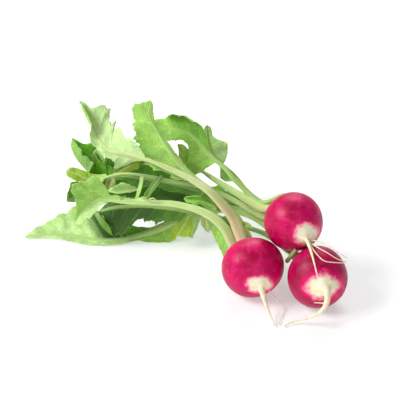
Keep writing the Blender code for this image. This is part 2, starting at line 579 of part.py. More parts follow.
def make_bulb(name, bulb, floor, parts, helpers):
    mesh = bpy.data.meshes.new(name)
    outline = bulb_profile(bulb)
    points = [(radius * MM, 0.0, height * MM) for radius, height in outline]
    mesh.from_pydata(points, [(k, k + 1) for k in range(len(points) - 1)], [])
    root = bpy.data.objects.new(name, mesh)
    parts.objects.link(root)
    root.data.materials.append(make_material(name + "_skin", SKIN, 0.35))
    out, right, up = crown_axes(bulb)
    root.matrix_world = Matrix((
        (right[0], -up[0] * bulb["taller"], out[0], 0.0),
        (right[1], -up[1] * bulb["taller"], out[1], 0.0),
        (right[2], -up[2] * bulb["taller"], out[2], 0.0),
        (0.0, 0.0, 0.0, 1.0)))
    root.location = to_world(bulb["middle"])
    turn = root.modifiers.new("turned", "SCREW")
    turn.axis = "Z"
    turn.steps = BULB_STEPS
    turn.render_steps = BULB_STEPS
    turn.use_merge_vertices = True
    turn.merge_threshold = 0.00001
    turn.use_smooth_shade = True
    for number, (route, start_radius, end_radius) in enumerate(bulb["roots"]):
        tube = make_root_tube(f"{name}_root_{number}", route, start_radius, end_radius, helpers)
        join = root.modifiers.new(tube.name, "BOOLEAN")
        join.operation = "UNION"
        join.solver = "EXACT"
        join.object = tube
    rest = root.modifiers.new("resting_spot", "BOOLEAN")
    rest.operation = "DIFFERENCE"
    rest.solver = "EXACT"
    rest.object = floor
    return root


def clear_scene():
    for thing in list(bpy.data.objects):
        bpy.data.objects.remove(thing)


def main():
    clear_scene()
    parts = bpy.data.collections.new("radish_bunch")
    helpers = bpy.data.collections.new("radish_bunch_cutters")
    bpy.context.scene.collection.children.link(parts)
    bpy.context.scene.collection.children.link(helpers)
    floor = make_floor_cutter(helpers)
    for name, bulb in BULBS.items():
        make_bulb(name, bulb, floor, parts, helpers)
    for number, (name, plan) in enumerate(LEAVES.items()):
        make_leaf(name, plan, number, parts)


main()
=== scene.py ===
"""The looks of a small bunch of fresh radishes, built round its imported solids.

Each root becomes a smooth turned body with its tail and rootlets, and each leaf a fine surface with
a channelled stalk, veins, ruffles and toothed edges. The plans of roots and leaves repeat those of the
solids, in millimetres, so that every piece lies where its solid is.
"""

import math
import random

import bpy
import numpy as np
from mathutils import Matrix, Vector


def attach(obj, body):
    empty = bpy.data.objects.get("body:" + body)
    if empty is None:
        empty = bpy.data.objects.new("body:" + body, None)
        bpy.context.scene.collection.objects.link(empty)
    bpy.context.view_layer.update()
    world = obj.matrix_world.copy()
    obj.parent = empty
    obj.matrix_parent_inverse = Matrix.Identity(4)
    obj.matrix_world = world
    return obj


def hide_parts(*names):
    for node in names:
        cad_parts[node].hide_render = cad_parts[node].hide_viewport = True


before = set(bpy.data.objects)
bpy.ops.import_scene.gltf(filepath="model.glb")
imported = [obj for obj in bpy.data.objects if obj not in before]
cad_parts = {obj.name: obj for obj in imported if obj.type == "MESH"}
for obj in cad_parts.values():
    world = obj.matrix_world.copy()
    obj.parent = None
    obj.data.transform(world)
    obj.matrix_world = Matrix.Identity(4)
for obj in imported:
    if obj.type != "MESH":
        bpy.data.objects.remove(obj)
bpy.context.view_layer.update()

# Lengths below are in millimetres, in the layout of the solids.
MM = 0.001
LAYOUT_SHIFT = (2.3, -2.1, 0.0)

# View
VIEW_TARGET = (7.72, 14.26, 22.82)
VIEW_ELEVATION = 32.0
VIEW_DISTANCE = 700.0
LENS = 126.0
SENSOR = 36.0

# Roots
RING_STEPS = 120
PROFILE_STEPS = 90
CROWN_PLATE = 6.2
POINT_START = 6.0
POINT_LENGTH = 1.8
CROWN_RING = 3.7
GAP = 0.3
CROWN_SOFTNESS = 0.5
LUMP_HEIGHT = 0.22
LUMP_FADE = 5.0
ROOT_FLOOR = 0.03

# Tails and rootlets
TAIL_SIDES = 26
ROOTLET_SIDES = 10
TAIL_TIP = 0.30
ROOTLET_TIP = 0.20
ROOTLET_SLIMMING = 0.75
SWELL = 1.5
SWELL_START = 1.5
SWELL_FADE = 1.2
TUBE_STEP = 0.45
TUBE_SIDES = 14
TUBE_FLOOR = 0.05
WAVER = 0.05
RIPPLE = 0.03
TUBE_END = 0.6

# Leaves
BLADE_HALF = 0.24
EDGE_HALF = 0.13
CAD_HALF = 0.40
STALK_BASE = 0.8
STALK_BASE_LENGTH = 9.0
ROW_STEP = 0.55
RIB_COLUMNS = 5
BLADE_COLUMNS = 13
SWEEP = [(0, 0.35)]
LEAST_RIB = 0.3
RIB_SLIMMING = 0.5
RIB_SLIMMING_START = 0.62
RIB_SLIMMING_SPAN = 0.15
GROOVE_DEPTH = 0.08
GROOVE_WIDTH = 0.35
TIP_LENGTH = 1.6
TOOTH_DEPTH = 0.10
TOOTH_LENGTH = 6.2
TOOTH_PEAK = 0.84
FINE_TOOTH_DEPTH = 0.045
FINE_TEETH_EACH = 2.7
FINE_TOOTH_PEAK = 0.7
RUFFLE_HEIGHT = 1.3
RUFFLE_LENGTH = 19.0
FINE_RUFFLE_HEIGHT = 0.5
FINE_RUFFLE_LENGTH = 6.3
UNFOLD_WIDTH = 1.5
BROAD_START = 3.0
BROAD_SPAN = 6.0
LEAFY_WIDTH = 2.5
FLOOR_SOFTNESS = 1.2
CLEAR_OF_FLOOR = 12.0
CORNER_ROUND = 1.5
VEIN_SPACING = 7.2
VEIN_LEAN = 0.62
VEIN_WIDTH = 0.55
VEIN_SLIMMING = 0.3
VEIN_RISE = 0.14
BULGE_WIDTH = 1.7
QUILT_HEIGHT = 0.4
SUNK = 1.6

# Noise and cells, in beats per metre, or per millimetre for streaks along a stalk and rings on a tail
CLOUD_BEAT = 160.0
BLADE_BEAT = 900.0
NET_BEAT = 620.0
STREAK_BEAT = 1.5
PATCH_BEAT = 95.0
MOTTLE_BEAT = 330.0
GRAIN_BEAT = 1500.0
SPECK_BEAT = 520.0
SCAR_BEAT = 300.0
RING_BEAT = 2.6
TAIL_BEAT = 700.0
FLOOR_BEAT = 90.0

# Gloss, and the height of relief in metres
LEAF_GLOSS = 0.35
SKIN_GLOSS = 0.22
FLOOR_GLOSS = 0.2
BUMP_STRENGTH = 0.7
LEAF_RELIEF = 0.00022
SKIN_RELIEF = 0.00040
TAIL_RELIEF = 0.00030

# Colours
ROOT_CREAM = (0.88, 0.79, 0.55)
ROOT_RING = (0.60, 0.42, 0.20)
DARK_CRIMSON = (0.42, 0.0, 0.055)
BRIGHT_CRIMSON = (0.64, 0.0, 0.110)
BLOTCH = (0.86, 0.05, 0.20)
SPECK = (0.88, 0.22, 0.34)
MAGENTA = (0.84, 0.004, 0.16)
PINK = (0.94, 0.50, 0.52)
CREAM = (0.94, 0.82, 0.54)
LIGHT_CREAM = (1.0, 0.95, 0.76)
SCAR = (0.50, 0.26, 0.10)
CROWN_TAN = (0.55, 0.40, 0.20)
STALK_FOOT = (0.66, 0.66, 0.42)
STALK_BLUSH = (0.66, 0.36, 0.24)
# The two darkest greens are leaf greens darkened to paint the shade inside the bunch, where leaves lie under
# and behind others.
DEEP_SHADED_GREEN = (0.035, 0.105, 0.006)
DARK_SHADED_GREEN = (0.085, 0.235, 0.012)
MIDDLE = (0.17, 0.38, 0.045)
FRESH = (0.30, 0.55, 0.09)
YELLOW = (0.33, 0.50, 0.035)
PALE = (0.46, 0.68, 0.24)
LUSH = (0.24, 0.60, 0.04)

# The stage, in metres. Each light looks at the bunch, and has its place, its size and its power.
LIGHTS = {
    "left_light": ((-0.90, -0.20, 0.80), 0.6, 15.0),
    "back_light": ((0.1, 0.9, 0.8), 0.7, 9.0),
    "front_fill": ((0.3, -1.1, 0.45), 0.8, 3.0),
}
WORLD_GLOW = 0.22
FLOOR_GLOW = 0.38
FLOOR_SIZE = 6.0

# Each root: its middle; the way its tail points; its radius across, and how much taller it is than wide;
# how far its crown end and its tail end lie from the middle; its pale patch as the view shows it, which
# is the place of the patch to the right of and above the middle, and half its width and height; how
# bright its skin is; and its tail and rootlets, each with its route and its radius at the start.
BULBS = {
    "bulb_a": {
        "middle": (32.7, -33.2, 14.85), "tail": (0.29, -0.94, -0.16), "radius": 15.1, "taller": 1.0,
        "crown_end": 13.0, "tail_end": 13.2, "patch": (3.4, -7.5, 5.6, 3.4), "tone": 1.0,
        "roots": [
            ([(35.4, -42.3, 13.2), (36.4, -46, 11.9), (38, -50.3, 7.5), (40.3, -54.8, 3.2),
              (42.3, -60.8, 0.9)], 2.3),
            ([(39, -41, 8.5), (43.5, -44, 4.5), (47.5, -45.5, 1.4), (47.2, -50, 0.7),
              (45.4, -55, 0.7), (44.2, -59.8, 0.7)], 0.45),
        ]},
    "bulb_b": {
        "middle": (52.1, -21.2, 33.1), "tail": (0.36, -0.93, -0.07), "radius": 14.2, "taller": 1.0,
        "crown_end": 13.3, "tail_end": 14.2, "patch": (5.8, -5.9, 5.4, 4.6), "tone": 0.94,
        "roots": [
            ([(55.5, -30, 32.2), (57, -34.2, 32.3), (57.9, -37.6, 32), (58.7, -42, 31.3),
              (59.6, -47.5, 30.1), (60.6, -52.4, 27.6), (61.6, -56.2, 24.3)], 1.5),
            ([(57, -31.5, 29.6), (59.5, -37, 31), (62.4, -41.5, 31.6), (66.6, -45, 31),
              (71, -46.7, 28.9), (75.6, -45, 26)], 0.5),
            ([(57.4, -31, 29.8), (60.5, -35, 31.4), (64, -38, 32.3), (68.5, -41, 31.2),
              (73, -42.3, 28.5), (76.4, -41.5, 25.8)], 0.5),
            ([(56.8, -31.5, 29.4), (59, -38.5, 30.9), (61, -44.5, 31), (64.4, -49.3, 29.8),
              (69.2, -49.3, 28.7), (75, -46.6, 26.6)], 0.5),
        ]},
    "bulb_c": {
        "middle": (62.9, -41.2, 14.7), "tail": (0.24, -0.95, 0.11), "radius": 14.1, "taller": 1.06,
        "crown_end": 14.0, "tail_end": 13.6, "patch": (1.7, -3.3, 6.7, 5.2), "tone": 0.74,
        "roots": [
            ([(65.5, -51.5, 16.6), (66.2, -56.3, 16.9), (65.8, -59.6, 13.3), (63.2, -60.2, 8.8),
              (58.5, -59.2, 4.6), (52.5, -58.2, 1.9), (48.6, -59.2, 0.9), (46.4, -61.6, 0.8)], 2.1),
            ([(65.4, -59, 12.5), (62.8, -58.4, 12.4), (60.2, -57.2, 11.6)], 0.5),
        ]},
}

# Each leaf: its place round the crown of the root that its name tells, in degrees from the right and
# anticlockwise as seen from the leaves; half the width and the depth of its stalk; the route of its
# midrib beyond the crown; the way its upper face looks, at fractions of its length; half its width at
# fractions of its length, to its left and right; how far each half is raised from flat, in degrees,
# and how much further it curls; how far the edges run ahead of the midrib, as a share of the width;
# and how deep its teeth are against the usual ones. One value in a row is that of both halves.
LEAVES = {
    "leaf_a1": {
        "around": 100, "stalk": (3.1, 3.8),
        "route": [(24.4, -12, 27.4), (18.8, -7.5, 33.3), (12.6, -3, 38.3), (5.8, 2, 40.8), (-1.5, 6, 42.9),
            (-16.8, 13, 46.3), (-29.3, 18, 47.2), (-37.4, 22, 47), (-42.9, 27, 51.8), (-47, 33, 59.2),
            (-52.1, 38, 66.2)],
        "face": [(0, (0, -0.2, 1)), (0.5, (0, 0.2, 1)), (0.62, (0, 0.9, 0.1)), (0.72, (0.1, 0.9, -0.3)),
            (1, (0.3, 0.9, -0.1))],
        "left": {0.585: 2, 0.615: 9, 0.635: 10, 0.65: 7, 0.685: 13.5, 0.7: 11.5, 0.76: 13.5, 0.8: 12,
            0.82: 9, 0.87: 8.5, 0.905: 11, 0.925: 8, 0.94: 3.5, 1: 0.8},
        "right": {0.6: 2, 0.64: 4, 0.69: 11, 0.73: 4, 0.8: 4.5, 0.85: 5, 0.9: 6.5, 0.95: 6, 0.98: 3,
            1: 0.8},
        "raise": [(0.6, 5), (0.8, -5, 5), (0.86, 5, -60), (1, 20, -70)],
        "curl": [(0, 15), (0.8, 15), (0.87, 15, -100), (1, 15, -100)]},
    "leaf_a2": {
        "around": 12, "stalk": (2.6, 3.4),
        "route": [(26.4, -6.5, 23.6), (19.6, -0.2, 29), (13.2, 5, 33.6), (6.5, 10, 36.6),
            (-0.6, 15.5, 40.7), (-7.2, 21, 47), (-12, 27, 52.3), (-17.4, 33, 60), (-17, 38, 66.6)],
        "face": [(0, (0, -0.2, 1)), (0.5, (0, -0.3, 1)), (0.7, (-0.2, -0.7, 0.6)), (1, (-0.3, -0.8, 0.3))],
        "left": {0.5: 2, 0.56: 8, 0.59: 8, 0.65: 14, 0.7: 12.5, 0.77: 12.5, 0.83: 10.5, 0.88: 8.5,
            0.94: 8.5, 0.975: 5, 1: 0.8},
        "right": {0.56: 1.6, 0.66: 2.2, 0.88: 2, 0.95: 2.4, 1: 0.8},
        "raise": [(0.5, 0, -35), (0.8, 8, -50), (1, 10, -20)], "curl": [(0, 10)]},
    "leaf_a3": {
        "around": 188, "stalk": (2.9, 3.5),
        "route": [(20.2, -13.5, 23), (14.8, -9, 26.6), (7.6, -5, 28.8), (1.1, -2, 29.2), (-6.6, 0, 29.7),
            (-16.8, 2, 28.9), (-30.1, 4, 28.1), (-39.6, 6, 28), (-43.2, 7, 26.5), (-47.8, 7.5, 23),
            (-51.8, 7.5, 18.6), (-54.4, 7, 13.2)],
        "face": [(0, (0, -0.2, 1)), (0.75, (0, -0.1, 1)), (0.86, (-0.2, -0.4, 0.9)),
            (1, (-0.4, -0.5, 0.8))],
        "left": {0.76: 2.2, 0.8: 4, 0.86: 6, 0.93: 6, 0.975: 4, 1: 0.8},
        "right": {0.55: 2, 0.575: 4.2, 0.6: 2, 0.69: 2, 0.715: 4.5, 0.735: 2, 0.755: 2.5, 0.775: 10,
            0.8: 15, 0.84: 15, 0.87: 11, 0.9: 5.5, 0.93: 3, 0.97: 2, 1: 0.8},
        "raise": [(0.5, 10, 70), (0.75, -20, 80), (0.86, -15, 80), (0.93, -5, 70), (1, 0, 40)],
        "curl": [(0, 15, 10)], "sweep": [(0, 0.35, 0), (0.75, 0.35, -0.1), (0.88, 0.35, 0.05)]},
    "leaf_a4": {
        "around": 275, "stalk": (2.1, 2.8),
        "route": [(25.5, -13, 15.2), (20, -7, 18.2), (14.5, -2.5, 20.6), (8, 1.5, 22.4), (-3, 5.5, 23.3),
            (-14, 8.5, 22.8), (-25, 10.5, 21.8), (-35, 12, 20), (-43, 13.5, 16.5)],
        "face": [(0, (0, 0, 1)), (0.15, (-0.2, -0.3, 0.9)), (0.5, (0, -0.4, 0.9)), (1, (-0.2, -0.6, 0.7))],
        "left": {0.11: 2, 0.15: 5, 0.18: 10, 0.21: 14, 0.24: 11, 0.29: 7, 0.34: 2, 0.45: 2, 0.5: 7,
            0.56: 8.5, 0.64: 8, 0.7: 7, 0.75: 7.5, 0.79: 12, 0.84: 15, 0.9: 14, 0.95: 10, 1: 0.8},
        "right": {0.14: 2, 0.19: 4, 0.24: 2, 0.6: 2, 0.68: 4, 0.8: 5, 0.92: 4, 1: 0.8},
        "raise": [(0, -40, 20), (0.3, -50, 15), (0.45, -30, 10), (0.8, -25, 0), (1, -30, 0)],
        "curl": [(0, -15)], "sweep": [(0, -0.6, 0.3), (0.34, -0.6, 0.3), (0.4, 0.2, 0.3)]},
    "leaf_b1": {
        "around": 82, "stalk": (1.9, 2.8), "teeth": 0.4,
        "route": [(41.3, 2.3, 29.2), (36.4, 7, 25.8), (33, 12, 26), (30.2, 16, 27.6), (24.2, 21, 31.6),
            (20.3, 25.5, 34.5), (15.3, 30, 36.8), (9.2, 36, 40.3), (3.7, 41, 43.9), (-3.5, 45.5, 45.4),
            (-10.7, 49, 45.8), (-16.9, 50.5, 47.9)],
        "face": [(0, (0, -0.2, 1)), (0.5, (0, -0.3, 1)), (0.72, (0, -0.5, 0.8)), (1, (0, -0.4, 0.9))],
        "left": {0.585: 1.6, 0.605: 9, 0.63: 13, 0.66: 16, 0.69: 15.5, 0.715: 11, 0.74: 5, 0.8: 5, 0.85: 6,
            0.9: 6.5, 0.95: 4, 1: 0.8},
        "right": {0.64: 1.6, 0.68: 6, 0.73: 13, 0.79: 15, 0.84: 14, 0.88: 10, 0.92: 5, 0.96: 3, 1: 0.8},
        "raise": [(0.5, -30, 20), (0.66, -14, 30), (0.71, 0, 30), (0.8, 0, 30), (0.88, -30, 30),
            (1, -20, 10)],
        "curl": [(0, 15), (0.68, 15, 60), (0.75, 15, 105), (0.88, 15, 105), (0.95, 15, 20)],
        "sweep": [(0, -0.4, 0.2), (0.8, -0.3, 0.15), (1, 0)]},
    "leaf_b2": {
        "around": 205, "stalk": (2.9, 3.7), "teeth": 0.4,
        "route": [(41.5, -5.8, 30.6), (37.6, -0.5, 27.6), (32.2, 6, 27.3), (24.3, 14, 28.2),
            (17.7, 20.5, 29), (11.8, 28, 29.1), (6.2, 35.5, 29.4), (1.1, 35.2, 36.2), (-3.4, 34.5, 43.4)],
        "face": [(0, (0, -0.2, 1)), (0.6, (0, -0.2, 1)), (1, (0.4, -0.7, 0.5))],
        "left": {0.8: 2.2, 0.86: 4, 0.92: 5.5, 0.97: 5, 1: 0.8},
        "right": {0.8: 2.2, 0.86: 2.2, 0.92: 2.6, 0.97: 2.4, 1: 0.8},
        "raise": [(0.5, 0), (0.88, 0), (1, 35)], "curl": [(0, 10)]},
    "leaf_b3": {
        "around": 285, "stalk": (1.8, 2.6), "teeth": 0.3,
        "route": [(41.6, -1.5, 22.5), (35.4, 5, 20.8), (24.2, 14.5, 22.9), (12.7, 19.5, 25.6),
            (3.7, 21.5, 27.2), (-7.4, 22.5, 28.9), (-17.4, 24, 30.7), (-30.1, 26.5, 30.9),
            (-37.9, 28.5, 28.2), (-44.2, 30, 24.8), (-49.3, 31, 24.8), (-54.9, 32, 27), (-60.5, 33, 28.7)],
        "face": [(0, (0, -0.2, 1)), (0.7, (0, -0.2, 1)), (0.86, (0, -0.6, 0.8)), (1, (0.1, -0.7, 0.7))],
        "left": {0.84: 1.6, 0.88: 3, 0.93: 3.6, 0.975: 3.4, 1: 2},
        "right": {0.82: 1.6, 0.86: 3, 0.91: 3.4, 0.96: 3.2, 0.985: 2.6, 1: 1.6},
        "raise": [(0.7, 0, 10), (0.9, 5, 10), (1, 10, 15)], "curl": [(0, 10)]},
    "leaf_b4": {
        "around": 8, "stalk": (1.9, 2.7), "teeth": 0.3,
        "route": [(42.2, 7, 24.6), (36.9, 14.5, 22.4), (31.2, 23, 23), (25.1, 33, 26.1), (17.5, 43, 28.6),
            (13.4, 50, 31.1), (12.1, 55, 35.4), (11.4, 58, 41.4)],
        "face": [(0, (0, -0.2, 1)), (0.5, (0.1, -0.4, 1)), (1, (0.2, -0.8, 0.6))],
        "left": {0.57: 1.6, 0.61: 5.5, 0.67: 6, 0.71: 1.6, 0.82: 1.8, 0.88: 2.6, 0.97: 2.6, 1: 2},
        "right": {0.72: 1.6, 0.75: 5, 0.785: 8, 0.82: 9.3, 0.86: 9, 0.895: 7, 0.92: 2.5, 0.97: 2.2, 1: 1.6},
        "raise": [(0.4, -30, -10), (0.7, -30, -5), (0.8, 10, -5), (1, 20, 0)], "curl": [(0, 15)],
        "sweep": [(0, 0, 0.1)]},
    "leaf_c1": {
        "around": 165, "stalk": (2.7, 3.5), "teeth": 0.3,
        "route": [(49.6, -12.5, 14.2), (40.5, 2, 16), (32.6, 7.5, 18.3), (22.7, 11, 19), (11.7, 12, 18.2),
            (2.7, 12.5, 15.4), (-4.9, 13.2, 10.6), (-13.7, 14, 5.4), (-23.8, 11.8, 2.6), (-33.3, 9.6, 1.2),
            (-43, 9.6, 1), (-53.3, 12.2, 1.2), (-63.8, 14.8, 1.2), (-73.9, 14.8, 1), (-81.3, 13, 0.4)],
        "face": [(0, (0, -0.2, 1)), (0.3, (0, -0.4, 1)), (0.6, (0, -0.4, 1)), (1, (0, -0.3, 1))],
        "left": {0.375: 2.4, 0.39: 6, 0.405: 10, 0.42: 7, 0.437: 2.6, 0.45: 8, 0.465: 11, 0.485: 12,
            0.5: 10.5, 0.513: 6, 0.522: 2.6, 0.532: 7, 0.55: 10, 0.575: 10.5, 0.605: 9, 0.63: 5, 0.645: 2.4,
            0.66: 2.4, 0.72: 3, 0.8: 4.5, 0.9: 3, 0.96: 2, 1: 0.8},
        "right": {0.31: 2.4, 0.35: 3.2, 0.4: 2.4, 0.46: 5, 0.52: 3, 0.6: 2.4, 0.63: 5, 0.67: 10, 0.71: 14,
            0.77: 18, 0.81: 18, 0.83: 17, 0.855: 12, 0.885: 9.5, 0.92: 7.5, 0.955: 5, 1: 0.8},
        "raise": [(0.3, -55, 10), (0.6, -48, 0), (0.68, -25, 5), (0.8, -20, 25), (0.88, -20, 22),
            (1, -20, 5)],
        "curl": [(0, 12)], "sweep": [(0.3, 0, 0.35), (0.6, 0.15, 0.35), (0.7, 0.35)]},
    "leaf_c2": {
        "around": 88, "stalk": (2.2, 3), "teeth": 0.6,
        "route": [(58.5, -15.5, 13.6), (48, 6, 13), (35, 17, 16), (17.9, 23, 19.2), (2.1, 28, 22),
            (-13.7, 32, 23.8), (-30.2, 35.5, 24), (-37.5, 37.5, 23.3), (-43.8, 39, 22.3),
            (-48.5, 40.5, 22.4), (-52.6, 42, 26.2), (-56.1, 43, 30.9), (-58.2, 44, 36.7),
            (-57.5, 44.5, 41)],
        "face": [(0, (0, -0.2, 1)), (0.7, (0, -0.5, 0.9)), (0.82, (0.3, -0.4, 0.9)),
            (0.9, (0.85, -0.3, 0.5)), (1, (0.9, -0.3, 0.3))],
        "left": {0.42: 2, 0.45: 5, 0.48: 3, 0.52: 6, 0.56: 3.5, 0.61: 6.5, 0.65: 3.5, 0.69: 6.5, 0.73: 6,
            0.755: 2.5, 0.79: 2.2, 0.83: 5, 0.87: 8.5, 0.92: 10, 0.96: 9, 0.985: 6, 1: 2},
        "right": {0.4: 2, 0.45: 6, 0.49: 3, 0.54: 7, 0.59: 4, 0.64: 8, 0.7: 8, 0.76: 5, 0.79: 4, 0.82: 9,
            0.86: 14, 0.91: 17, 0.95: 15, 0.98: 9, 1: 3},
        "raise": [(0.4, -50, 55), (0.5, -75, 55), (0.75, -75, 55), (0.82, 20, 50), (0.88, 60, 55),
            (1, 60, 55)],
        "curl": [(0, -8, -10), (0.82, 10)], "sweep": [(0, 0.1, 0.35), (0.8, 0.1, 0.35), (0.86, 0.1, 0)]},
    "leaf_c3": {
        "around": 5, "stalk": (2, 2.8),
        "route": [(62.5, -14, 11.4), (53, 12, 8.5), (37, 25, 8.5), (18, 33, 10), (0, 39, 12.4),
            (-18, 42.5, 14.8), (-34, 41.5, 15.2), (-47, 36.5, 15), (-54.5, 32, 15.6), (-60.5, 28.5, 13.2)],
        "face": [(0, (0, -0.2, 1)), (0.35, (0, -0.5, 0.8)), (0.5, (0, -0.9, 0.45)),
            (1, (-0.4, -0.8, 0.45))],
        "left": {0.4: 1.8, 0.46: 3, 0.5: 2.5, 0.58: 8, 0.68: 9, 0.78: 7.5, 0.86: 4, 0.92: 6, 0.96: 6.5,
            1: 0.8},
        "right": {0.38: 1.8, 0.45: 6, 0.51: 4, 0.58: 9, 0.65: 13, 0.72: 12, 0.78: 13, 0.83: 7, 0.87: 4.5,
            0.92: 6.5, 0.96: 6.5, 1: 0.8},
        "raise": [(0.4, -10, 10), (1, 5)], "curl": [(0, 12)]},
    "leaf_c4": {
        "around": 270, "stalk": (2, 2.8),
        "route": [(53, -11, 7.4), (40, 9, 6.2), (23, 22.5, 3.6), (8, 36, 0.8), (-6, 46.5, -1.5),
            (-21, 53.5, -3), (-37, 57, -1.5), (-50, 58, 1)],
        "face": [(0, (0, 0, 1)), (1, (0, 0.1, 1))],
        "left": {0.36: 1.8, 0.43: 5, 0.5: 3, 0.58: 7, 0.68: 9, 0.78: 9, 0.88: 7, 0.95: 5, 1: 0.8},
        "right": {0.42: 1.8, 0.47: 4, 0.52: 2.5, 0.6: 8, 0.7: 10.6, 0.8: 10.7, 0.9: 8.5, 0.96: 5, 1: 0.8},
        "raise": [(0.3, 0), (1, 5, 8)], "curl": [(0, 8)]},
}

# The colours of each leaf: its upper and under faces at fractions of its length, its stalk, how pink
# the stalk is at its foot, and how plainly the midrib shows on the blade. One colour in a row is that of
# both halves, and two are those of the left and right halves.
LOOKS = {
    "leaf_a1": {
        "upper": [(0, LUSH)], "under": [(0, (0.5, 0.7, 0.3))], "stalk": (0.54, 0.64, 0.27), "pink": 0.85},
    "leaf_a2": {
        "upper": [(0, (0.34, 0.6, 0.11))], "under": [(0, PALE)], "stalk": (0.4, 0.62, 0.17), "pink": 0.2,
        "rib": 0.3},
    "leaf_a3": {
        "upper": [(0, FRESH), (0.74, PALE, FRESH)], "under": [(0, PALE)], "stalk": (0.52, 0.69, 0.26),
        "pink": 0.15},
    # a4's blade darkens from 0.45 of its length to the tip, above and below: painted shade, where it lies
    # under a3.
    "leaf_a4": {
        "upper": [(0, (0.24, 0.44, 0.08)), (0.35, FRESH), (0.45, DARK_SHADED_GREEN), (0.7, DEEP_SHADED_GREEN)],
        "under": [(0, PALE), (0.45, MIDDLE)], "stalk": (0.3, 0.46, 0.12), "pink": 0.1},
    # b1's right half is a darker green up to the arch near its tip: painted shade in the hollow under the
    # curled arch.
    "leaf_b1": {
        "upper": [(0, FRESH, MIDDLE), (0.86, FRESH, MIDDLE), (0.92, FRESH)], "under": [(0, FRESH)],
        "stalk": (0.36, 0.55, 0.14), "pink": 0.3, "rib": 0.6},
    "leaf_b2": {
        "upper": [(0, MIDDLE), (0.8, YELLOW)], "under": [(0, YELLOW)], "stalk": (0.42, 0.6, 0.17),
        "pink": 0.5},
    "leaf_b3": {
        "upper": [(0, FRESH), (0.84, FRESH), (0.88, YELLOW)],
        "under": [(0, PALE), (0.84, PALE), (0.88, YELLOW)], "stalk": (0.5, 0.66, 0.25), "pink": 0.6},
    "leaf_b4": {
        "upper": [(0, PALE)], "under": [(0, PALE)], "stalk": (0.34, 0.5, 0.12), "pink": 0.4},
    # c1's right half turns dark, then darkest, where it curls up under a3: painted shade.
    "leaf_c1": {
        "upper": [(0, PALE, MIDDLE), (0.44, PALE, MIDDLE), (0.455, YELLOW, MIDDLE), (0.52, YELLOW, DARK_SHADED_GREEN),
            (0.535, FRESH, DARK_SHADED_GREEN), (0.64, FRESH, DARK_SHADED_GREEN), (0.69, PALE, DEEP_SHADED_GREEN), (0.735, PALE, DEEP_SHADED_GREEN),
            (0.78, PALE)],
        "under": [(0, PALE)], "stalk": (0.46, 0.64, 0.23), "pink": 0.1},
    # c2's blade is dark above along its middle: painted shade inside the bunch.
    "leaf_c2": {
        "upper": [(0, MIDDLE, FRESH), (0.5, MIDDLE, FRESH), (0.54, DARK_SHADED_GREEN), (0.77, DARK_SHADED_GREEN), (0.8, DARK_SHADED_GREEN, LUSH)],
        "under": [(0, (0.2, 0.42, 0.06))], "stalk": (0.3, 0.46, 0.12), "pink": 0.1},
    # c3 and c4 lie at the back of the bunch and under it; their blades and stalks are darkened all over:
    # painted shade.
    "leaf_c3": {
        "upper": [(0, DARK_SHADED_GREEN), (0.6, DEEP_SHADED_GREEN), (0.85, DARK_SHADED_GREEN)], "under": [(0, MIDDLE)], "stalk": (0.16, 0.3, 0.05),
        "pink": 0.1},
    "leaf_c4": {
        "upper": [(0, DARK_SHADED_GREEN)], "under": [(0, MIDDLE)], "stalk": (0.18, 0.32, 0.06), "pink": 0.1},
}

# What the plan of a small leaf has where it says nothing else.
SPRIG = {"stalk": (0.7, 0.7), "raise": [(0, 10)], "curl": [(0, 20)]}

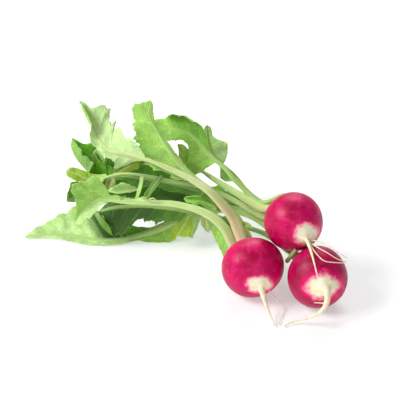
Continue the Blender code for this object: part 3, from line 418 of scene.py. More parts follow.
# Small leaves and scraps that fill the bunch, planned as the leaves are, but each with its whole route
# and its colour.
SPRIGS = {
    "leaflet_edge_on": {
        "route": [(-24, 20, 25.4), (-29.9, 19, 25.6), (-34.9, 18, 25.6), (-38.4, 18, 26.2)],
        "face": [(0, (0, -0.1, 1))], "left": {0: 0.5, 0.3: 2.6, 0.7: 2.4, 1: 0.5},
        "right": {0: 0.5, 0.2: 3, 0.5: 5, 0.75: 3.5, 1: 0.5}, "raise": [(0, 0, 60)], "curl": [(0, 10, 60)],
        "shade": PALE},
    "leaflet_arc": {
        "route": [(-45.8, 12.5, 18.9), (-43.4, 11, 13.7), (-40.4, 9, 9.6), (-36.4, 8, 6)],
        "face": [(0, (0.5, -0.6, 0.5))], "left": {0: 0.4, 0.3: 2.5, 0.7: 3.5, 1: 0.5},
        "right": {0: 0.4, 0.5: 0.6, 1: 0.4}, "raise": [(0, 60, 0)], "curl": [(0, 10)], "shade": MIDDLE},
    "leaflet_curly_1": {
        "route": [(14.7, 10, 20.8), (10.7, 12, 22.5), (5.7, 14, 23.4), (-0.3, 16, 22.5)],
        "face": [(0, (0, -0.6, 0.7))],
        "left": {0: 0.5, 0.2: 4, 0.35: 1.5, 0.55: 5, 0.7: 2, 0.85: 3.5, 1: 0.5},
        "right": {0: 0.5, 0.25: 4.5, 0.4: 2, 0.6: 5.5, 0.75: 2.5, 0.9: 3.5, 1: 0.5},
        "raise": [(0, 10, 40), (1, -20, 50)], "curl": [(0, 70, 80)], "shade": FRESH},
    "leaflet_curly_2": {
        "route": [(21, 8.5, 22), (16.5, 9.5, 24), (11, 11, 25.6), (6.5, 12, 26.5)],
        "face": [(0, (0, -0.5, 0.8))], "left": {0: 0.5, 0.3: 3.5, 0.5: 1.6, 0.75: 3.5, 1: 0.5},
        "right": {0: 0.5, 0.2: 3, 0.4: 1.5, 0.65: 4, 1: 0.5}, "raise": [(0, -20, 40), (1, 20)],
        "curl": [(0, 60, 80)], "shade": MIDDLE},
    "leaflet_beside_tip_1": {
        "route": [(-43.8, 41, 19.6), (-44.2, 42.5, 26.6), (-45.2, 43.5, 35.6)],
        "face": [(0, (-0.3, -0.9, 0.3))], "left": {0: 3, 0.5: 3.6, 0.9: 3, 1: 0.8},
        "right": {0: 3.5, 0.5: 4.2, 0.9: 3.5, 1: 0.8}, "curl": [(0, 10)], "shade": PALE},
    "leaflet_beside_tip_2": {
        "route": [(-37.8, 39.5, 19.8), (-38.4, 41, 26.8), (-40.1, 42, 34.5)],
        "face": [(0, (0.3, -0.8, 0.4))], "left": {0: 3, 0.5: 4, 0.8: 3, 1: 0.8},
        "right": {0: 3, 0.4: 4.5, 0.8: 2.5, 1: 0.8}, "raise": [(0, 20, 10)], "shade": MIDDLE},
    "leaflet_olive": {
        "route": [(-35, 32, 28), (-29.4, 33.5, 30.5), (-22.5, 35.5, 33.5)], "face": [(0, (0.1, -0.9, 0.4))],
        "left": {0: 2, 0.3: 5, 0.8: 4, 1: 0.8}, "right": {0: 2, 0.3: 4, 0.6: 2.5, 0.8: 4, 1: 0.8},
        "shade": (0.22, 0.31, 0.015)},
    # A dark scrap in the gap behind the stalks of a1 and a2, coloured with the shaded green: painted shade.
    "leaflet_behind_a": {
        "route": [(-12, 27.5, 35), (-18, 31, 38.5), (-22.5, 34, 43.5)], "face": [(0, (0.1, -0.9, 0.4))],
        "left": {0: 2, 0.3: 5, 0.8: 4, 1: 0.8}, "right": {0: 2, 0.4: 5, 0.8: 3, 1: 0.8}, "shade": DARK_SHADED_GREEN},
    "leaflet_strip_1": {
        "route": [(-21.4, 22, 31.6), (-22.3, 18, 27.6), (-24.6, 12, 22.6)],
        "face": [(0, (-0.4, -0.6, 0.7))], "left": {0: 1.4, 0.5: 1.5, 0.9: 1.3, 1: 1},
        "right": {0: 0.9, 0.5: 1.1, 0.9: 0.9, 1: 0.8}, "raise": [(0, 30, 10)], "curl": [(0, 20, 10)],
        "shade": FRESH},
    # A strip inside the bunch, coloured with the shaded green: painted shade.
    "leaflet_strip_2": {
        "route": [(-12.4, 22, 31), (-15.8, 18, 28.2), (-20.2, 12.5, 23.6)],
        "face": [(0, (-0.2, -0.6, 0.7))], "left": {0: 2.2, 0.4: 2.6, 0.9: 2, 1: 1.6},
        "right": {0: 1.6, 0.5: 1.8, 0.9: 1.6, 1: 1.4}, "raise": [(0, 20, 10)], "curl": [(0, 20, 10)],
        "shade": DARK_SHADED_GREEN},
    "leaflet_strip_3": {
        "route": [(-36.5, 24, 29.4), (-37.4, 21, 26.6), (-38, 18, 24.4)], "face": [(0, (0.1, -0.6, 0.7))],
        "left": {0: 2, 0.5: 3.2, 0.9: 2, 1: 0.8}, "right": {0: 2, 0.5: 3, 0.9: 2, 1: 0.8},
        "raise": [(0, 20, 10)], "curl": [(0, 20, 10)], "shade": (0.17, 0.23, 0.012)},
    "leaflet_yellow": {
        "route": [(2.4, 6.5, 18), (-0.5, 5.2, 13.2), (-3.8, 4.6, 7.8)], "teeth": 0.3,
        "face": [(0, (0, -0.8, 0.5)), (1, (0, -0.7, 0.6))],
        "left": {0: 1.5, 0.25: 4, 0.6: 4.8, 0.85: 3.8, 1: 1.5},
        "right": {0: 1.5, 0.25: 3.6, 0.6: 4.6, 0.85: 3.8, 1: 1.5}, "raise": [(0, 0, 10)],
        "curl": [(0, 20, 30)], "shade": YELLOW},
    "leaflet_triangle": {
        "route": [(10.2, -1.5, 23.6), (10.8, -2.5, 19.2), (11.8, -3.2, 14.8)], "teeth": 0.4,
        "face": [(0, (0, -0.8, 0.5))], "left": {0: 2.6, 0.3: 3.4, 0.7: 2, 1: 0.6},
        "right": {0: 2.2, 0.3: 2.8, 0.7: 1.8, 1: 0.6}, "raise": [(0, 0)],
        "shade": (0.38, 0.54, 0.17)},
    "bud_a": {
        "route": [(25.6, -13, 22.6), (27.6, -11.4, 24.6), (30.6, -12, 24.6), (33, -13.4, 23.4)],
        "face": [(0, (0, -0.6, 0.7))], "left": {0: 0.8, 0.4: 1.8, 0.8: 1.6, 1: 0.5},
        "right": {0: 0.8, 0.4: 1.6, 0.8: 1.8, 1: 0.5}, "raise": [(0, 40)], "curl": [(0, 30)],
        "shade": FRESH},
    "scrap_between": {
        "route": [(48.8, -25, 19.4), (51.6, -26, 18.6), (54.6, -26.5, 18)], "face": [(0, (0, -0.8, 0.5))],
        "left": {0: 0.8, 0.4: 1.8, 0.8: 1.4, 1: 0.5}, "right": {0: 0.8, 0.4: 1.4, 0.8: 1.2, 1: 0.5},
        "curl": [(0, 30)], "shade": PALE},
}

# A curled tendril on a stalk, and a cut stub of a stalk between the roots: route, radius and colour.
SCRAPS = {
    "tendril": ([(-16.8, 1, 30.2), (-16.5, -0.2, 32.4), (-15, -0.8, 33.2), (-13.8, -0.8, 32.1),
                 (-14.6, -0.6, 30.9)], 0.36, (0.50, 0.60, 0.20)),
    "cut_stub": ([(52.8, -34, 25.3), (50.7, -33, 21.2), (48.6, -32, 16.9)], 1, (0.24, 0.22, 0.07)),
}


def to_metres(points):
    """Layout points in millimetres as points of the frame in metres."""
    return (np.asarray(points, float) + LAYOUT_SHIFT) * MM


def smooth_route(points, per_span=24):
    """Points of a smooth curve that runs through the given ones."""
    points = np.array(points, float)
    padded = np.vstack([2 * points[0] - points[1], points, 2 * points[-1] - points[-2]])
    curve = []
    for before, start, end, after in zip(padded, padded[1:], padded[2:], padded[3:]):
        for step in range(per_span):
            t = step / per_span
            curve.append(0.5 * (2 * start + (end - before) * t
                                + (2 * before - 5 * start + 4 * end - after) * t ** 2
                                + (3 * start - before - 3 * end + after) * t ** 3))
    curve.append(points[-1])
    return np.array(curve)


def lengths_along(curve):
    """The distance of each point of a curve from its start."""
    steps = np.linalg.norm(np.diff(curve, axis=0), axis=1)
    return np.concatenate([[0.0], np.cumsum(steps)])


def units(vectors):
    vectors = np.asarray(vectors, float)
    return vectors / np.linalg.norm(vectors, axis=-1, keepdims=True)


def saw(beat, peak):
    """A repeating tooth from 0 to 1, with its peak at that share of each beat."""
    beat = beat % 1.0
    return np.minimum(beat / peak, (1.0 - beat) / (1.0 - peak))


def crown_axes(bulb):
    """A root's crown direction, with the directions to the right and up across it."""
    out = -units(bulb["tail"])
    right = units(np.cross(out, (0.0, 0.0, 1.0)))
    return out, right, np.cross(right, out)


def plate_height(bulb):
    """How far the flat plate of the crown is from a root's middle."""
    return bulb["crown_end"] * math.sqrt(1.0 - (CROWN_PLATE / bulb["radius"]) ** 2)


class Blade:
    """The surface of one leaf: a stalk that widens into a folded, ruffled and toothed blade.

    The leaf's number shifts its teeth, ruffles and veins, so that no two leaves match.
    """

    def __init__(self, plan, number, curve, look):
        self.plan = plan
        self.look = look
        self.number = number
        self.curve = curve
        self.reach = lengths_along(curve)
        self.length = self.reach[-1]
        self.heading = np.gradient(curve, self.reach, axis=0)
        rows = round((self.length + SUNK) / ROW_STEP)
        self.distance = np.linspace(-SUNK, self.length, rows)
        self.fraction = self.distance / self.length

    def along(self, table):
        return np.stack([np.interp(self.distance, self.reach, column) for column in table.T], axis=-1)

    def listed(self, rows, column):
        return np.interp(self.fraction, [row[0] for row in rows], [row[column] for row in rows])

    def sided(self, key, side):
        """The values listed for the half on that side."""
        return self.listed(self.plan.get(key, SWEEP), 1 if side < 0 else -1)

    def axes(self):
        """The midrib's points with its heading, upper-face and rightward directions."""
        heading = units(self.along(self.heading))
        rows = [(row[0], *row[1]) for row in self.plan["face"]]
        face = np.stack([self.listed(rows, column) for column in (1, 2, 3)], axis=-1)
        face = units(face - heading * (face * heading).sum(axis=-1, keepdims=True))
        place = self.along(self.curve) + heading * np.minimum(self.distance, 0.0)[:, None]
        return place, heading, face, np.cross(heading, face)

    def rib(self):
        """Half the width and half the depth of the stalk or midrib."""
        width, depth = self.plan["stalk"]
        left = np.clip(1.0 - self.fraction, 0.0, 1.0)
        grown = np.clip(self.distance / STALK_BASE_LENGTH, 0.0, 1.0)
        base = STALK_BASE + (1.0 - STALK_BASE) * grown
        beyond = np.clip((self.fraction - RIB_SLIMMING_START) / RIB_SLIMMING_SPAN, 0.0, 1.0)
        slim = 1.0 - RIB_SLIMMING * beyond
        half_width = LEAST_RIB + (width * base * left ** 0.8 - LEAST_RIB * left) * slim
        return half_width, LEAST_RIB + (depth / 2 - LEAST_RIB) * left

    def width(self, side):
        """Half-widths of the leaf to its left (side -1) or right (side 1)."""
        profile = self.plan["left"] if side < 0 else self.plan["right"]
        where = np.array(list(profile)) * self.length
        values = list(profile.values())
        shifts = np.linspace(-CORNER_ROUND, CORNER_ROUND, 5)
        plain = np.mean([np.interp(self.distance + shift, where, values) for shift in shifts], axis=0)
        plain[self.distance < where[0]] = 0.0
        beat = self.distance / TOOTH_LENGTH + 0.37 * self.number + 0.21 * side
        teeth = self.plan.get("teeth", 1.0)
        tooth = 1.0 + teeth * TOOTH_DEPTH * (2.0 * saw(beat, TOOTH_PEAK) - 1.0)
        fine_beat = beat * FINE_TEETH_EACH + 0.4
        fine = 1.0 + teeth * FINE_TOOTH_DEPTH * (2.0 * saw(fine_beat, FINE_TOOTH_PEAK) - 1.0)
        tip = np.sqrt(np.clip((self.length - self.distance) / TIP_LENGTH, 0.03, 1.0))
        return np.maximum(plain * tooth * fine, self.rib()[0]) * tip

    def veins(self, side, across):
        """How much of a side vein, from 0 to 1, there is at each point, and the bulge between veins."""
        lean = self.distance[:, None] - VEIN_LEAN * across
        beat = lean / VEIN_SPACING + 0.41 * self.number + 0.5 * (side > 0)
        off = np.abs(beat - np.round(beat)) * VEIN_SPACING
        part = across / across[:, -1:]
        vein = np.exp(-(off / (VEIN_WIDTH - VEIN_SLIMMING * part)) ** 2)
        return vein, 1.0 - np.exp(-(off / BULGE_WIDTH) ** 2)

    def half(self, side):
        """One half of the leaf: its middle points, face directions, depths and painted values."""
        place, heading, face, right = self.axes()
        rib_width, rib_depth = self.rib()
        width = self.width(side)
        shoulder = np.minimum(rib_width, 0.6 * width)
        inner = np.linspace(0.0, 1.0, RIB_COLUMNS + 1)
        outer = np.linspace(0.0, 1.0, BLADE_COLUMNS + 1)[1:]
        across = np.concatenate([shoulder[:, None] * inner,
                                 shoulder[:, None] + (width - shoulder)[:, None] * outer], axis=1)
        part = across / width[:, None]
        unfolded = np.clip((width - rib_width) / UNFOLD_WIDTH, 0.0, 1.0)
        lift = (np.radians(self.sided("raise", side)) * unfolded)[:, None]
        bend = (np.radians(self.sided("curl", side)) * unfolded)[:, None] + 1e-6
        turn = lift + bend * part
        out = width[:, None] / bend * (np.sin(turn) - np.sin(lift))
        rise = width[:, None] / bend * (np.cos(lift) - np.cos(turn))
        blade = np.clip((width - BROAD_START) / BROAD_SPAN, 0.0, 1.0)[:, None]
        distance = self.distance[:, None]
        wave = math.tau * distance / RUFFLE_LENGTH + 1.9 * self.number + 1.3 * side
        rise += RUFFLE_HEIGHT * blade * part ** 2 * np.sin(wave)
        wave = math.tau * distance / FINE_RUFFLE_LENGTH + 2.3 * self.number + side
        rise += FINE_RUFFLE_HEIGHT * blade * part ** 3 * np.sin(wave)
        vein, bulge = self.veins(side, across)
        leafy = np.clip((width - rib_width) / LEAFY_WIDTH, 0.0, 1.0)[:, None] * (across > rib_width[:, None])
        rise += QUILT_HEIGHT * leafy * bulge * np.sin(math.pi * np.clip(part, 0.0, 0.9))
        ahead = self.sided("sweep", side)[:, None] * blade * width[:, None] * part ** 1.5
        point = (place[:, None] + right[:, None] * (side * out)[..., None] + face[:, None] * rise[..., None]
                 + heading[:, None] * ahead[..., None])
        height = (point[..., 2] - CAD_HALF) / FLOOR_SOFTNESS
        kept_up = CAD_HALF + FLOOR_SOFTNESS * np.log1p(np.exp(np.minimum(height, CLEAR_OF_FLOOR)))
        point[..., 2] = np.where(height < CLEAR_OF_FLOOR, kept_up, point[..., 2])
        normal = face[:, None] * np.cos(turn)[..., None] - right[:, None] * (side * np.sin(turn))[..., None]
        beside = np.clip(across / rib_width[:, None], 0.0, 1.0)
        arch = rib_depth[:, None] * np.sqrt(1.0 - beside ** 2)
        thin = BLADE_HALF + (EDGE_HALF - BLADE_HALF) * part
        groove = 1.0 - GROOVE_DEPTH * np.exp(-(beside / GROOVE_WIDTH) ** 2)
        over = np.maximum(arch * groove, thin)
        under = np.maximum(arch, thin) + VEIN_RISE * vein * leafy
        values = {
            "rib": np.clip(1.25 - 1.1 * across / rib_width[:, None], 0.0, 1.0) * np.ones_like(part),
            "vein": vein * leafy,
            "part": part,
            "across": across * side,
            "along": distance * np.ones_like(part),
            "leafy": leafy * np.ones_like(part),
        }
        for label in ("upper", "under"):
            rows = self.look[label]
            where = (distance - VEIN_LEAN * across) / self.length
            shades = np.array([row[1 if side < 0 else -1] for row in rows])
            values[label + "_colour"] = np.stack(
                [np.interp(where, [row[0] for row in rows], shades[:, k]) for k in range(3)], axis=-1)
        return point, normal, over, under, values

    def shell(self):
        """The upper and under grids of points, and the values painted on both."""
        halves = [self.half(-1), self.half(1)]
        joined = []
        for left, right in zip(halves[0][:4], halves[1][:4]):
            joined.append(np.concatenate([left[:, ::-1], right[:, 1:]], axis=1))
        point, normal, over, under = joined
        values = {}
        for name in halves[0][4]:
            left, right = halves[0][4][name], halves[1][4][name]
            values[name] = np.concatenate([left[:, ::-1], right[:, 1:]], axis=1)
        return point + normal * over[..., None], point - normal * under[..., None], values


def paint(mesh, name, values):
    """Store one number per point on a mesh, or one colour per point."""
    if values.ndim > 1 and values.shape[-1] == 3:
        colours = np.concatenate([values.reshape(-1, 3), np.ones((values.size // 3, 1))], axis=1)
        layer = mesh.attributes.new(name, "FLOAT_COLOR", "POINT")
        layer.data.foreach_set("color", colours.ravel().astype(np.float32))
    else:
        layer = mesh.attributes.new(name, "FLOAT", "POINT")
        layer.data.foreach_set("value", values.ravel().astype(np.float32))


def make_object(name, points, faces, material):
    mesh = bpy.data.meshes.new(name)
    mesh.from_pydata(to_metres(points).tolist(), [], faces)
    mesh.validate()
    mesh.shade_smooth()
    piece = bpy.data.objects.new(name, mesh)
    mesh.materials.append(material)
    bpy.context.scene.collection.objects.link(piece)
    return piece


def shell_object(name, upper, lower, values, material):
    """A closed shell between two grids of points, with values painted on its points."""
    rows, columns = upper.shape[:2]
    top = np.arange(rows * columns).reshape(rows, columns)
    low = top + rows * columns

    def quads(a, b, c, d):
        return np.stack([np.ravel(a), np.ravel(b), np.ravel(c), np.ravel(d)], axis=-1)

    faces = np.concatenate([
        quads(top[:-1, :-1], top[:-1, 1:], top[1:, 1:], top[1:, :-1]),
        quads(low[1:, :-1], low[1:, 1:], low[:-1, 1:], low[:-1, :-1]),
        quads(low[:-1, 0], top[:-1, 0], top[1:, 0], low[1:, 0]),
        quads(top[:-1, -1], low[:-1, -1], low[1:, -1], top[1:, -1]),
        quads(top[0, :-1], low[0, :-1], low[0, 1:], top[0, 1:]),
        quads(top[-1, 1:], low[-1, 1:], low[-1, :-1], top[-1, :-1]),
    ])
    points = np.concatenate([upper.reshape(-1, 3), lower.reshape(-1, 3)])
    piece = make_object(name, points, faces.tolist(), material)
    for label, value in values.items():
        flat = value.reshape(rows * columns, *value.shape[2:])
        paint(piece.data, label, np.concatenate([flat, flat]))
    paint(piece.data, "under", np.repeat([0.0, 1.0], rows * columns))
    return piece


def ring_object(name, rings, start, end, values, material):
    """A closed body through a row of rings, with an end point before the first and after the last."""
    rows, steps = rings.shape[:2]
    index = np.arange(rows * steps).reshape(rows, steps)
    after = np.roll(index, -1, axis=1)
    faces = np.stack([np.ravel(index[:-1]), np.ravel(after[:-1]), np.ravel(after[1:]),
                      np.ravel(index[1:])], axis=-1).tolist()
    first = rows * steps
    last = first + 1
    faces += [(first, b, a) for a, b in zip(index[0].tolist(), after[0].tolist())]
    faces += [(last, a, b) for a, b in zip(index[-1].tolist(), after[-1].tolist())]
    points = np.concatenate([rings.reshape(-1, 3), [start, end]])
    piece = make_object(name, points, faces, material)
    for label, value in values.items():
        paint(piece.data, label, np.concatenate([np.repeat(value, steps), [value[0], value[-1]]]))
    return piece


def lumps(directions, seed, low=1.5, high=4.0, waves=7):
    """A gentle unevenness between about -1 and 1 over a body, from its points' directions."""
    random.seed(seed)
    total = np.zeros(directions.shape[:-1])
    for wave in range(waves):
        axis = units([random.gauss(0.0, 1.0) for _ in range(3)])
        beat = random.uniform(low, high)
        total += np.sin(directions @ axis * beat + random.uniform(0.0, math.tau))
    return total / math.sqrt(waves)


def patch_distance(piece, bulb):
    """How far each point of a root is from the middle of its pale patch, where 1 is the patch's edge."""
    tilt = math.radians(VIEW_ELEVATION)
    across, above, half_width, half_height = bulb["patch"]
    points = np.array([vertex.co for vertex in piece.data.vertices])
    offset = (points - to_metres(bulb["middle"])) / MM
    beside = offset[:, 0] - across
    over = offset @ np.array([0.0, math.sin(tilt), math.cos(tilt)]) - above
    behind = np.maximum(-(offset @ np.array([0.0, -math.cos(tilt), math.sin(tilt)])), 0.0)
    return np.sqrt((beside / half_width) ** 2 + (over / half_height) ** 2 + behind ** 2)


def make_bulb(name, bulb, seed):
    """The round body of a root, from its crown to the point that the tail grows from."""
    theta = np.linspace(0.0, math.pi, PROFILE_STEPS + 2)[1:-1]
    radius = bulb["radius"] * np.sin(theta)
    height = np.where(theta < math.pi / 2, bulb["crown_end"], bulb["tail_end"]) * np.cos(theta)
    pointed = (theta > math.pi / 2) & (radius < POINT_START)
    height -= np.where(pointed, POINT_LENGTH * (1.0 - radius / POINT_START) ** 2, 0.0)
    plate = plate_height(bulb)
    height = -CROWN_SOFTNESS * np.logaddexp(-height / CROWN_SOFTNESS, -plate / CROWN_SOFTNESS)
    out, right, up = crown_axes(bulb)
    around = np.linspace(0.0, math.tau, RING_STEPS, endpoint=False)
    spoke = right * np.cos(around)[:, None] + up * bulb["taller"] * np.sin(around)[:, None]
    rings = out * height[:, None, None] + spoke * radius[:, None, None]
    swell = lumps(units(rings), seed) * LUMP_HEIGHT * np.clip(radius / LUMP_FADE, 0.0, 1.0)[:, None]
    rings = rings + units(rings) * swell[..., None] + np.array(bulb["middle"])
    rings[..., 2] = np.maximum(rings[..., 2], ROOT_FLOOR)
    reach = lengths_along(np.stack([radius, height], axis=-1))
    crown = np.array(bulb["middle"]) + out * (plate - CROWN_SOFTNESS * 0.1)
    point = np.array(bulb["middle"]) - out * (bulb["tail_end"] + POINT_LENGTH)
    piece = ring_object(name, rings[:, ::-1], crown, point,
                        {"from_tail": reach[-1] - reach, "from_crown": reach},
                        skin_material(name + "_skin", bulb["tone"], seed))
    paint(piece.data, "from_patch", patch_distance(piece, bulb))
    return piece


def make_tube(name, route, radius_at, seed, material, sides=TUBE_SIDES):
    """A round body along a smooth route, slightly uneven, with rounded ends."""
    curve = smooth_route(route)
    reach = lengths_along(curve)
    count = max(6, round(reach[-1] / TUBE_STEP))
    distance = np.linspace(0.0, reach[-1], count)
    centre = np.stack([np.interp(distance, reach, column) for column in curve.T], axis=-1)
    heading = units(np.gradient(centre, distance, axis=0))
    side = units(np.cross(heading[0], (0.3, 0.2, 1.0)))
    rings = []
    random.seed(seed)
    phase = random.uniform(0.0, 6.0)
    for place, ahead, along in zip(centre, heading, distance):
        side = units(side - ahead * side.dot(ahead))
        over = np.cross(ahead, side)
        radius = radius_at(along, reach[-1])
        radius *= 1.0 + WAVER * math.sin(along * 1.3 + phase) + RIPPLE * math.sin(along * 3.7 + 2 * phase)
        radius *= math.sqrt(min(max((reach[-1] - along) / TUBE_END, 0.12), 1.0))
        turn = np.linspace(0.0, math.tau, sides, endpoint=False)
        rings.append(place + radius * (np.outer(np.cos(turn), side) + np.outer(np.sin(turn), over)))
    rings = np.array(rings)
    rings[..., 2] = np.maximum(rings[..., 2], TUBE_FLOOR)
    return ring_object(name, rings, centre[0], centre[-1], {"along": distance}, material)


class Nodes:
    """A material's node tree, built by short calls."""

    def __init__(self, name):
        self.material = bpy.data.materials.new(name)
        self.material.use_nodes = True
        self.tree = self.material.node_tree
        self.shader = self.tree.nodes["Principled BSDF"]

    def add(self, kind, inputs, output, **settings):
        """The output of a new node, with its inputs given by name or by place."""
        node = self.tree.nodes.new(kind)
        for key, value in settings.items():
            setattr(node, key, value)
        for key, value in inputs.items():
            self.plug(node.inputs[key], value)
        return node.outputs[output]

    def plug(self, socket, value):
        if isinstance(value, bpy.types.NodeSocket):
            self.tree.links.new(value, socket)
        else:
            socket.default_value = value

    def value(self, name):
        return self.add("ShaderNodeAttribute", {}, "Fac", attribute_name=name)

    def painted(self, name):
        return self.add("ShaderNodeAttribute", {}, "Color", attribute_name=name)

    def place(self):
        return self.add("ShaderNodeTexCoord", {}, "Object")

    def tone(self, colour, factor):
        """A colour from a socket made lighter or darker."""
        return self.add("ShaderNodeVectorMath", {0: colour, "Scale": factor}, 0, operation="SCALE")

    def math(self, operation, a, b):
        return self.add("ShaderNodeMath", {0: a, 1: b}, 0, operation=operation)

    def plus(self, a, b):
        return self.math("ADD", a, b)

    def times(self, a, b):
        return self.math("MULTIPLY", a, b)

    def ramp(self, value, low, high, start=0.0, end=1.0):
        """The value mapped smoothly from low..high to start..end."""
        inputs = dict(enumerate((value, low, high, start, end)))
        return self.add("ShaderNodeMapRange", inputs, 0, interpolation_type="SMOOTHSTEP")

    def mix(self, factor, first, second):
        inputs = {0: factor}
        for place, colour in ((6, first), (7, second)):
            inputs[place] = colour if isinstance(colour, bpy.types.NodeSocket) else (*colour, 1.0)
        return self.add("ShaderNodeMix", inputs, 2, data_type="RGBA")

    def noise(self, vector, scale, detail=3.0, roughness=0.55):
        inputs = {"Vector": vector, "Scale": scale, "Detail": detail, "Roughness": roughness}
        return self.add("ShaderNodeTexNoise", inputs, "Fac")

    def cells(self, vector, scale, feature="F1"):
        inputs = {"Vector": vector, "Scale": scale}
        return self.add("ShaderNodeTexVoronoi", inputs, "Distance", feature=feature)

    def vector(self, x, y, z):
        return self.add("ShaderNodeCombineXYZ", {0: x, 1: y, 2: z}, 0)

    def bump(self, height, depth):
        """Raise the surface by the height times depth, in metres."""
        inputs = {"Strength": BUMP_STRENGTH, "Distance": depth, "Height": height}
        self.plug(self.shader.inputs["Normal"], self.add("ShaderNodeBump", inputs, "Normal"))

    def finish(self, colour, roughness, subsurface=0.0, radius=(1.0, 1.0, 1.0), scale=0.001):
        self.plug(self.shader.inputs["Base Color"], colour)
        self.plug(self.shader.inputs["Roughness"], roughness)
        self.shader.inputs["Subsurface Weight"].default_value = subsurface
        self.shader.inputs["Subsurface Radius"].default_value = radius
        self.shader.inputs["Subsurface Scale"].default_value = scale
        return self.material


def scaled(colour, factor):
    return tuple(channel * factor for channel in colour)


def leaf_material(name, look):
    """Leaf and stalk: veined green above, paler below, with a streaked stalk."""
    nodes = Nodes(name)
    place = nodes.place()
    stalk = look["stalk"]
    cloudy = nodes.noise(place, CLOUD_BEAT, 4.0)
    fine = nodes.noise(place, BLADE_BEAT, 3.0)
    net = nodes.ramp(nodes.cells(place, NET_BEAT, "DISTANCE_TO_EDGE"), 0.0, 0.16)
    vein = nodes.value("vein")
    leafy = nodes.value("leafy")
    below = nodes.value("under")
    cloud = nodes.ramp(cloudy, 0.3, 0.7, 0.76, 1.10)
    upper = nodes.tone(nodes.painted("upper_colour"), cloud)
    upper = nodes.tone(upper, nodes.ramp(net, 0.0, 1.0, 1.16, 1.0))
    veined = nodes.mix(0.35, nodes.tone(upper, 1.5), stalk)
    upper = nodes.mix(nodes.ramp(vein, 0.25, 0.95, 0.0, 0.55), upper, veined)
    under = nodes.tone(nodes.painted("under_colour"), cloud)
    under = nodes.tone(under, nodes.ramp(net, 0.0, 1.0, 1.08, 1.0))
    under = nodes.mix(nodes.ramp(vein, 0.25, 0.95, 0.0, 0.6), under, scaled(stalk, 1.15))
    blade = nodes.mix(below, upper, under)
    # Painted highlight: the outer edge of each blade is lightened towards the stalk's colour, as a leaf's
    # rim glows when lit from behind.
    rim_highlight = nodes.ramp(nodes.value("part"), 0.93, 0.99, 0.0, 0.35)
    blade = nodes.mix(rim_highlight, blade, scaled(stalk, 1.1))
    across = nodes.value("across")
    along = nodes.value("along")
    lengthwise = nodes.vector(nodes.times(across, 1.6), nodes.times(along, 0.05), nodes.times(below, 5.0))
    streaks = nodes.noise(lengthwise, STREAK_BEAT, 4.0)
    stem = nodes.mix(nodes.ramp(streaks, 0.34, 0.66), scaled(stalk, 0.84), scaled(stalk, 1.04))
    stem = nodes.mix(nodes.ramp(along, 2.0, 14.0, 0.4, 0.0), stem, STALK_FOOT)
    blush = nodes.times(nodes.ramp(streaks, 0.40, 0.60), nodes.ramp(along, 8.0, 48.0, look["pink"], 0.0))
    blush = nodes.times(blush, nodes.ramp(across, -1.6, 1.2, 1.0, 0.12))
    stem = nodes.mix(blush, stem, STALK_BLUSH)
    midrib = nodes.times(nodes.value("rib"), look.get("rib", 1.0))
    stemmy = nodes.math("MAXIMUM", midrib, nodes.math("SUBTRACT", 1.0, leafy))
    colour = nodes.mix(stemmy, blade, stem)
    relief = nodes.plus(nodes.times(net, 0.5), nodes.times(fine, 0.5))
    relief = nodes.times(relief, nodes.plus(leafy, 0.15))
    nodes.bump(relief, LEAF_RELIEF)
    rough = nodes.ramp(fine, 0.3, 0.7, 0.42, 0.60)
    nodes.shader.inputs["Specular IOR Level"].default_value = LEAF_GLOSS
    return nodes.finish(colour, rough, 0.18, (0.7, 1.0, 0.25), 0.0010)


def skin_material(name, tone, seed):
    """Root skin: crimson, mottled and speckled, fading through pink to cream round the tail."""
    nodes = Nodes(name)
    place = nodes.place()
    broad = nodes.noise(place, PATCH_BEAT + seed, 2.0)
    middle = nodes.noise(place, MOTTLE_BEAT, 4.0)
    fine = nodes.noise(place, GRAIN_BEAT, 3.0)
    wander = nodes.plus(nodes.times(nodes.math("SUBTRACT", broad, 0.5), 0.9),
                        nodes.times(nodes.math("SUBTRACT", middle, 0.5), 0.7))
    wander = nodes.plus(wander, nodes.times(nodes.math("SUBTRACT", fine, 0.5), 0.35))
    edge = nodes.plus(nodes.value("from_patch"), wander)
    crimson = nodes.mix(nodes.ramp(broad, 0.35, 0.65), DARK_CRIMSON, BRIGHT_CRIMSON)
    crimson = nodes.mix(nodes.ramp(middle, 0.50, 0.75, 0.0, 0.35), crimson, BLOTCH)
    specks = nodes.times(nodes.ramp(nodes.cells(place, SPECK_BEAT), 0.06, 0.20, 0.35, 0.0),
                         nodes.ramp(broad, 0.45, 0.62))
    crimson = nodes.tone(nodes.mix(specks, crimson, SPECK), tone)
    magenta = nodes.mix(nodes.ramp(edge, 1.15, 1.75), MAGENTA, crimson)
    pink = nodes.mix(nodes.ramp(edge, 0.90, 1.36), PINK, magenta)
    cream = nodes.mix(nodes.ramp(middle, 0.4, 0.65), CREAM, LIGHT_CREAM)
    colour = nodes.mix(nodes.ramp(edge, 0.78, 1.06), cream, pink)
    scars = nodes.ramp(nodes.cells(place, SCAR_BEAT), 0.05, 0.19, 1.0, 0.0)
    scars = nodes.times(scars, nodes.ramp(nodes.value("from_tail"), 2.0, 6.0, 0.85, 0.0))
    colour = nodes.mix(scars, colour, SCAR)
    colour = nodes.mix(nodes.ramp(nodes.value("from_crown"), 3.5, 7.0, 0.7, 0.0), colour, CROWN_TAN)
    relief = nodes.plus(nodes.times(middle, 0.9), nodes.times(fine, 0.3))
    nodes.bump(relief, SKIN_RELIEF)
    rough = nodes.ramp(middle, 0.3, 0.7, 0.30, 0.50)
    nodes.shader.inputs["Specular IOR Level"].default_value = SKIN_GLOSS
    return nodes.finish(colour, rough, 0.04, (1.0, 0.15, 0.20), 0.0012)


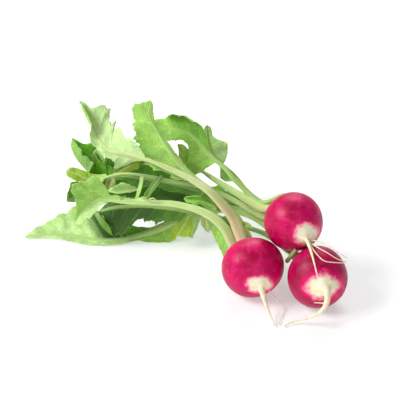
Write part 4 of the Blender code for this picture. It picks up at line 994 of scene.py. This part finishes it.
def root_material(name):
    """Tail and rootlets: cream with fine brown rings."""
    nodes = Nodes(name)
    rings = nodes.noise(nodes.vector(nodes.value("along"), 0.0, 0.0), RING_BEAT, 4.0, 0.7)
    grain = nodes.noise(nodes.place(), TAIL_BEAT, 4.0)
    colour = nodes.mix(nodes.ramp(grain, 0.35, 0.7), scaled(ROOT_CREAM, 0.93), scaled(ROOT_CREAM, 1.08))
    colour = nodes.mix(nodes.ramp(rings, 0.58, 0.72, 0.0, 0.45), colour, ROOT_RING)
    nodes.bump(nodes.plus(rings, nodes.times(grain, 0.5)), TAIL_RELIEF)
    return nodes.finish(colour, nodes.ramp(grain, 0.3, 0.7, 0.5, 0.66), 0.15, (1.0, 0.7, 0.4), 0.0012)


def dress(piece, node=None):
    """Attach a piece to the bunch, and hide the solid that it stands for, if it has one."""
    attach(piece, "root")
    if node:
        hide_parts(node)
    return piece


def make_roots():
    material = root_material("root_cream")
    for seed, (name, bulb) in enumerate(BULBS.items(), start=11):
        letter = name[-1]
        dress(make_bulb("radish_" + letter, bulb, seed), name)
        for number, (route, start_radius) in enumerate(bulb["roots"]):
            tail = number == 0

            def radius_at(along, length, start=start_radius, tail=tail):
                left = (1.0 - along / length) ** 2
                if tail:
                    swell = SWELL * math.exp(-max(along - SWELL_START, 0.0) / SWELL_FADE)
                    return TAIL_TIP + (start - TAIL_TIP) * left + swell
                return ROOTLET_TIP + (start * ROOTLET_SLIMMING - ROOTLET_TIP) * left

            label = f"tail_{letter}" if tail else f"rootlet_{letter}_{number}"
            sides = TAIL_SIDES if tail else ROOTLET_SIDES
            piece = make_tube(label, route, radius_at, 31 * seed + number, material, sides)
            dress(piece)


def leaf_curve(name, plan):
    """The midrib of a leaf, from the crown of its root to the tip."""
    bulb = BULBS["bulb_" + name[5]]
    out, right, up = crown_axes(bulb)
    angle = math.radians(plan["around"])
    spoke = right * math.cos(angle) + up * math.sin(angle)
    base = np.array(bulb["middle"]) + out * (plate_height(bulb) + GAP) + spoke * CROWN_RING
    return smooth_route([base, base + out * 3.5 + spoke * 0.3] + plan["route"])


def make_sprigs():
    for number, (name, plan) in enumerate(SPRIGS.items(), start=len(LEAVES)):
        shade = plan["shade"]
        look = {"upper": [(0, shade)], "under": [(0, scaled(shade, 1.2))],
                "stalk": scaled(shade, 1.15), "pink": 0.0}
        shape = Blade({**SPRIG, **plan}, number, smooth_route(plan["route"]), look)
        top, low, values = shape.shell()
        dress(shell_object(name, top, low, values, leaf_material(name + "_green", look)))


def make_leaves():
    for number, (name, plan) in enumerate(LEAVES.items()):
        material = leaf_material(name + "_green", LOOKS[name])
        shape = Blade(plan, number, leaf_curve(name, plan), LOOKS[name])
        top, low, values = shape.shell()
        piece = shell_object("stem_" + name[5:], top, low, values, material)
        dress(piece, name)


def make_scraps():
    for name, (route, radius, colour) in SCRAPS.items():
        material = leaf_material(name + "_green", {"stalk": colour, "pink": 0.0})
        dress(make_tube(name, route, lambda along, length, radius=radius: radius, 5, material))


def floor_material():
    """A pale surface that glows a little, as a white studio sweep does, so that its shadows stay soft."""
    nodes = Nodes("pale_floor")
    nodes.shader.inputs["Emission Color"].default_value = (0.96, 1.0, 1.0, 1.0)
    nodes.shader.inputs["Emission Strength"].default_value = FLOOR_GLOW
    nodes.shader.inputs["Specular IOR Level"].default_value = FLOOR_GLOSS
    grain = nodes.noise(nodes.place(), FLOOR_BEAT, 2.0)
    return nodes.finish(nodes.mix(grain, (0.68, 0.68, 0.68), (0.70, 0.70, 0.70)), 0.7)


def make_stage():
    bpy.ops.mesh.primitive_plane_add(size=FLOOR_SIZE)
    floor = bpy.context.object
    floor.name = "pale_floor"
    floor.data.materials.append(floor_material())


def make_lights():
    """Square soft lights that look at the bunch, and an even glow all round."""
    for name, (place, size, power) in LIGHTS.items():
        data = bpy.data.lights.new(name, "AREA")
        data.size = size
        data.energy = power
        light = bpy.data.objects.new(name, data)
        light.location = place
        light.rotation_euler = (-Vector(place)).to_track_quat("-Z", "Y").to_euler()
        bpy.context.scene.collection.objects.link(light)
    world = bpy.data.worlds.new("studio")
    world.use_nodes = True
    background = world.node_tree.nodes["Background"]
    background.inputs["Color"].default_value = (1.0, 1.0, 1.0, 1.0)
    background.inputs["Strength"].default_value = WORLD_GLOW
    bpy.context.scene.world = world
    bpy.context.scene.view_settings.view_transform = "Standard"


def make_camera():
    tilt = math.radians(VIEW_ELEVATION)
    ahead = np.array([0.0, math.cos(tilt), -math.sin(tilt)])
    data = bpy.data.cameras.new("photo_view")
    data.lens = LENS
    data.sensor_width = SENSOR
    camera = bpy.data.objects.new("photo_view", data)
    camera.location = to_metres(np.array(VIEW_TARGET) - ahead * VIEW_DISTANCE)
    camera.rotation_euler = (math.pi / 2 - tilt, 0.0, 0.0)
    bpy.context.scene.collection.objects.link(camera)
    bpy.context.scene.camera = camera


make_camera()
make_roots()
make_leaves()
make_sprigs()
make_scraps()
make_stage()
make_lights()
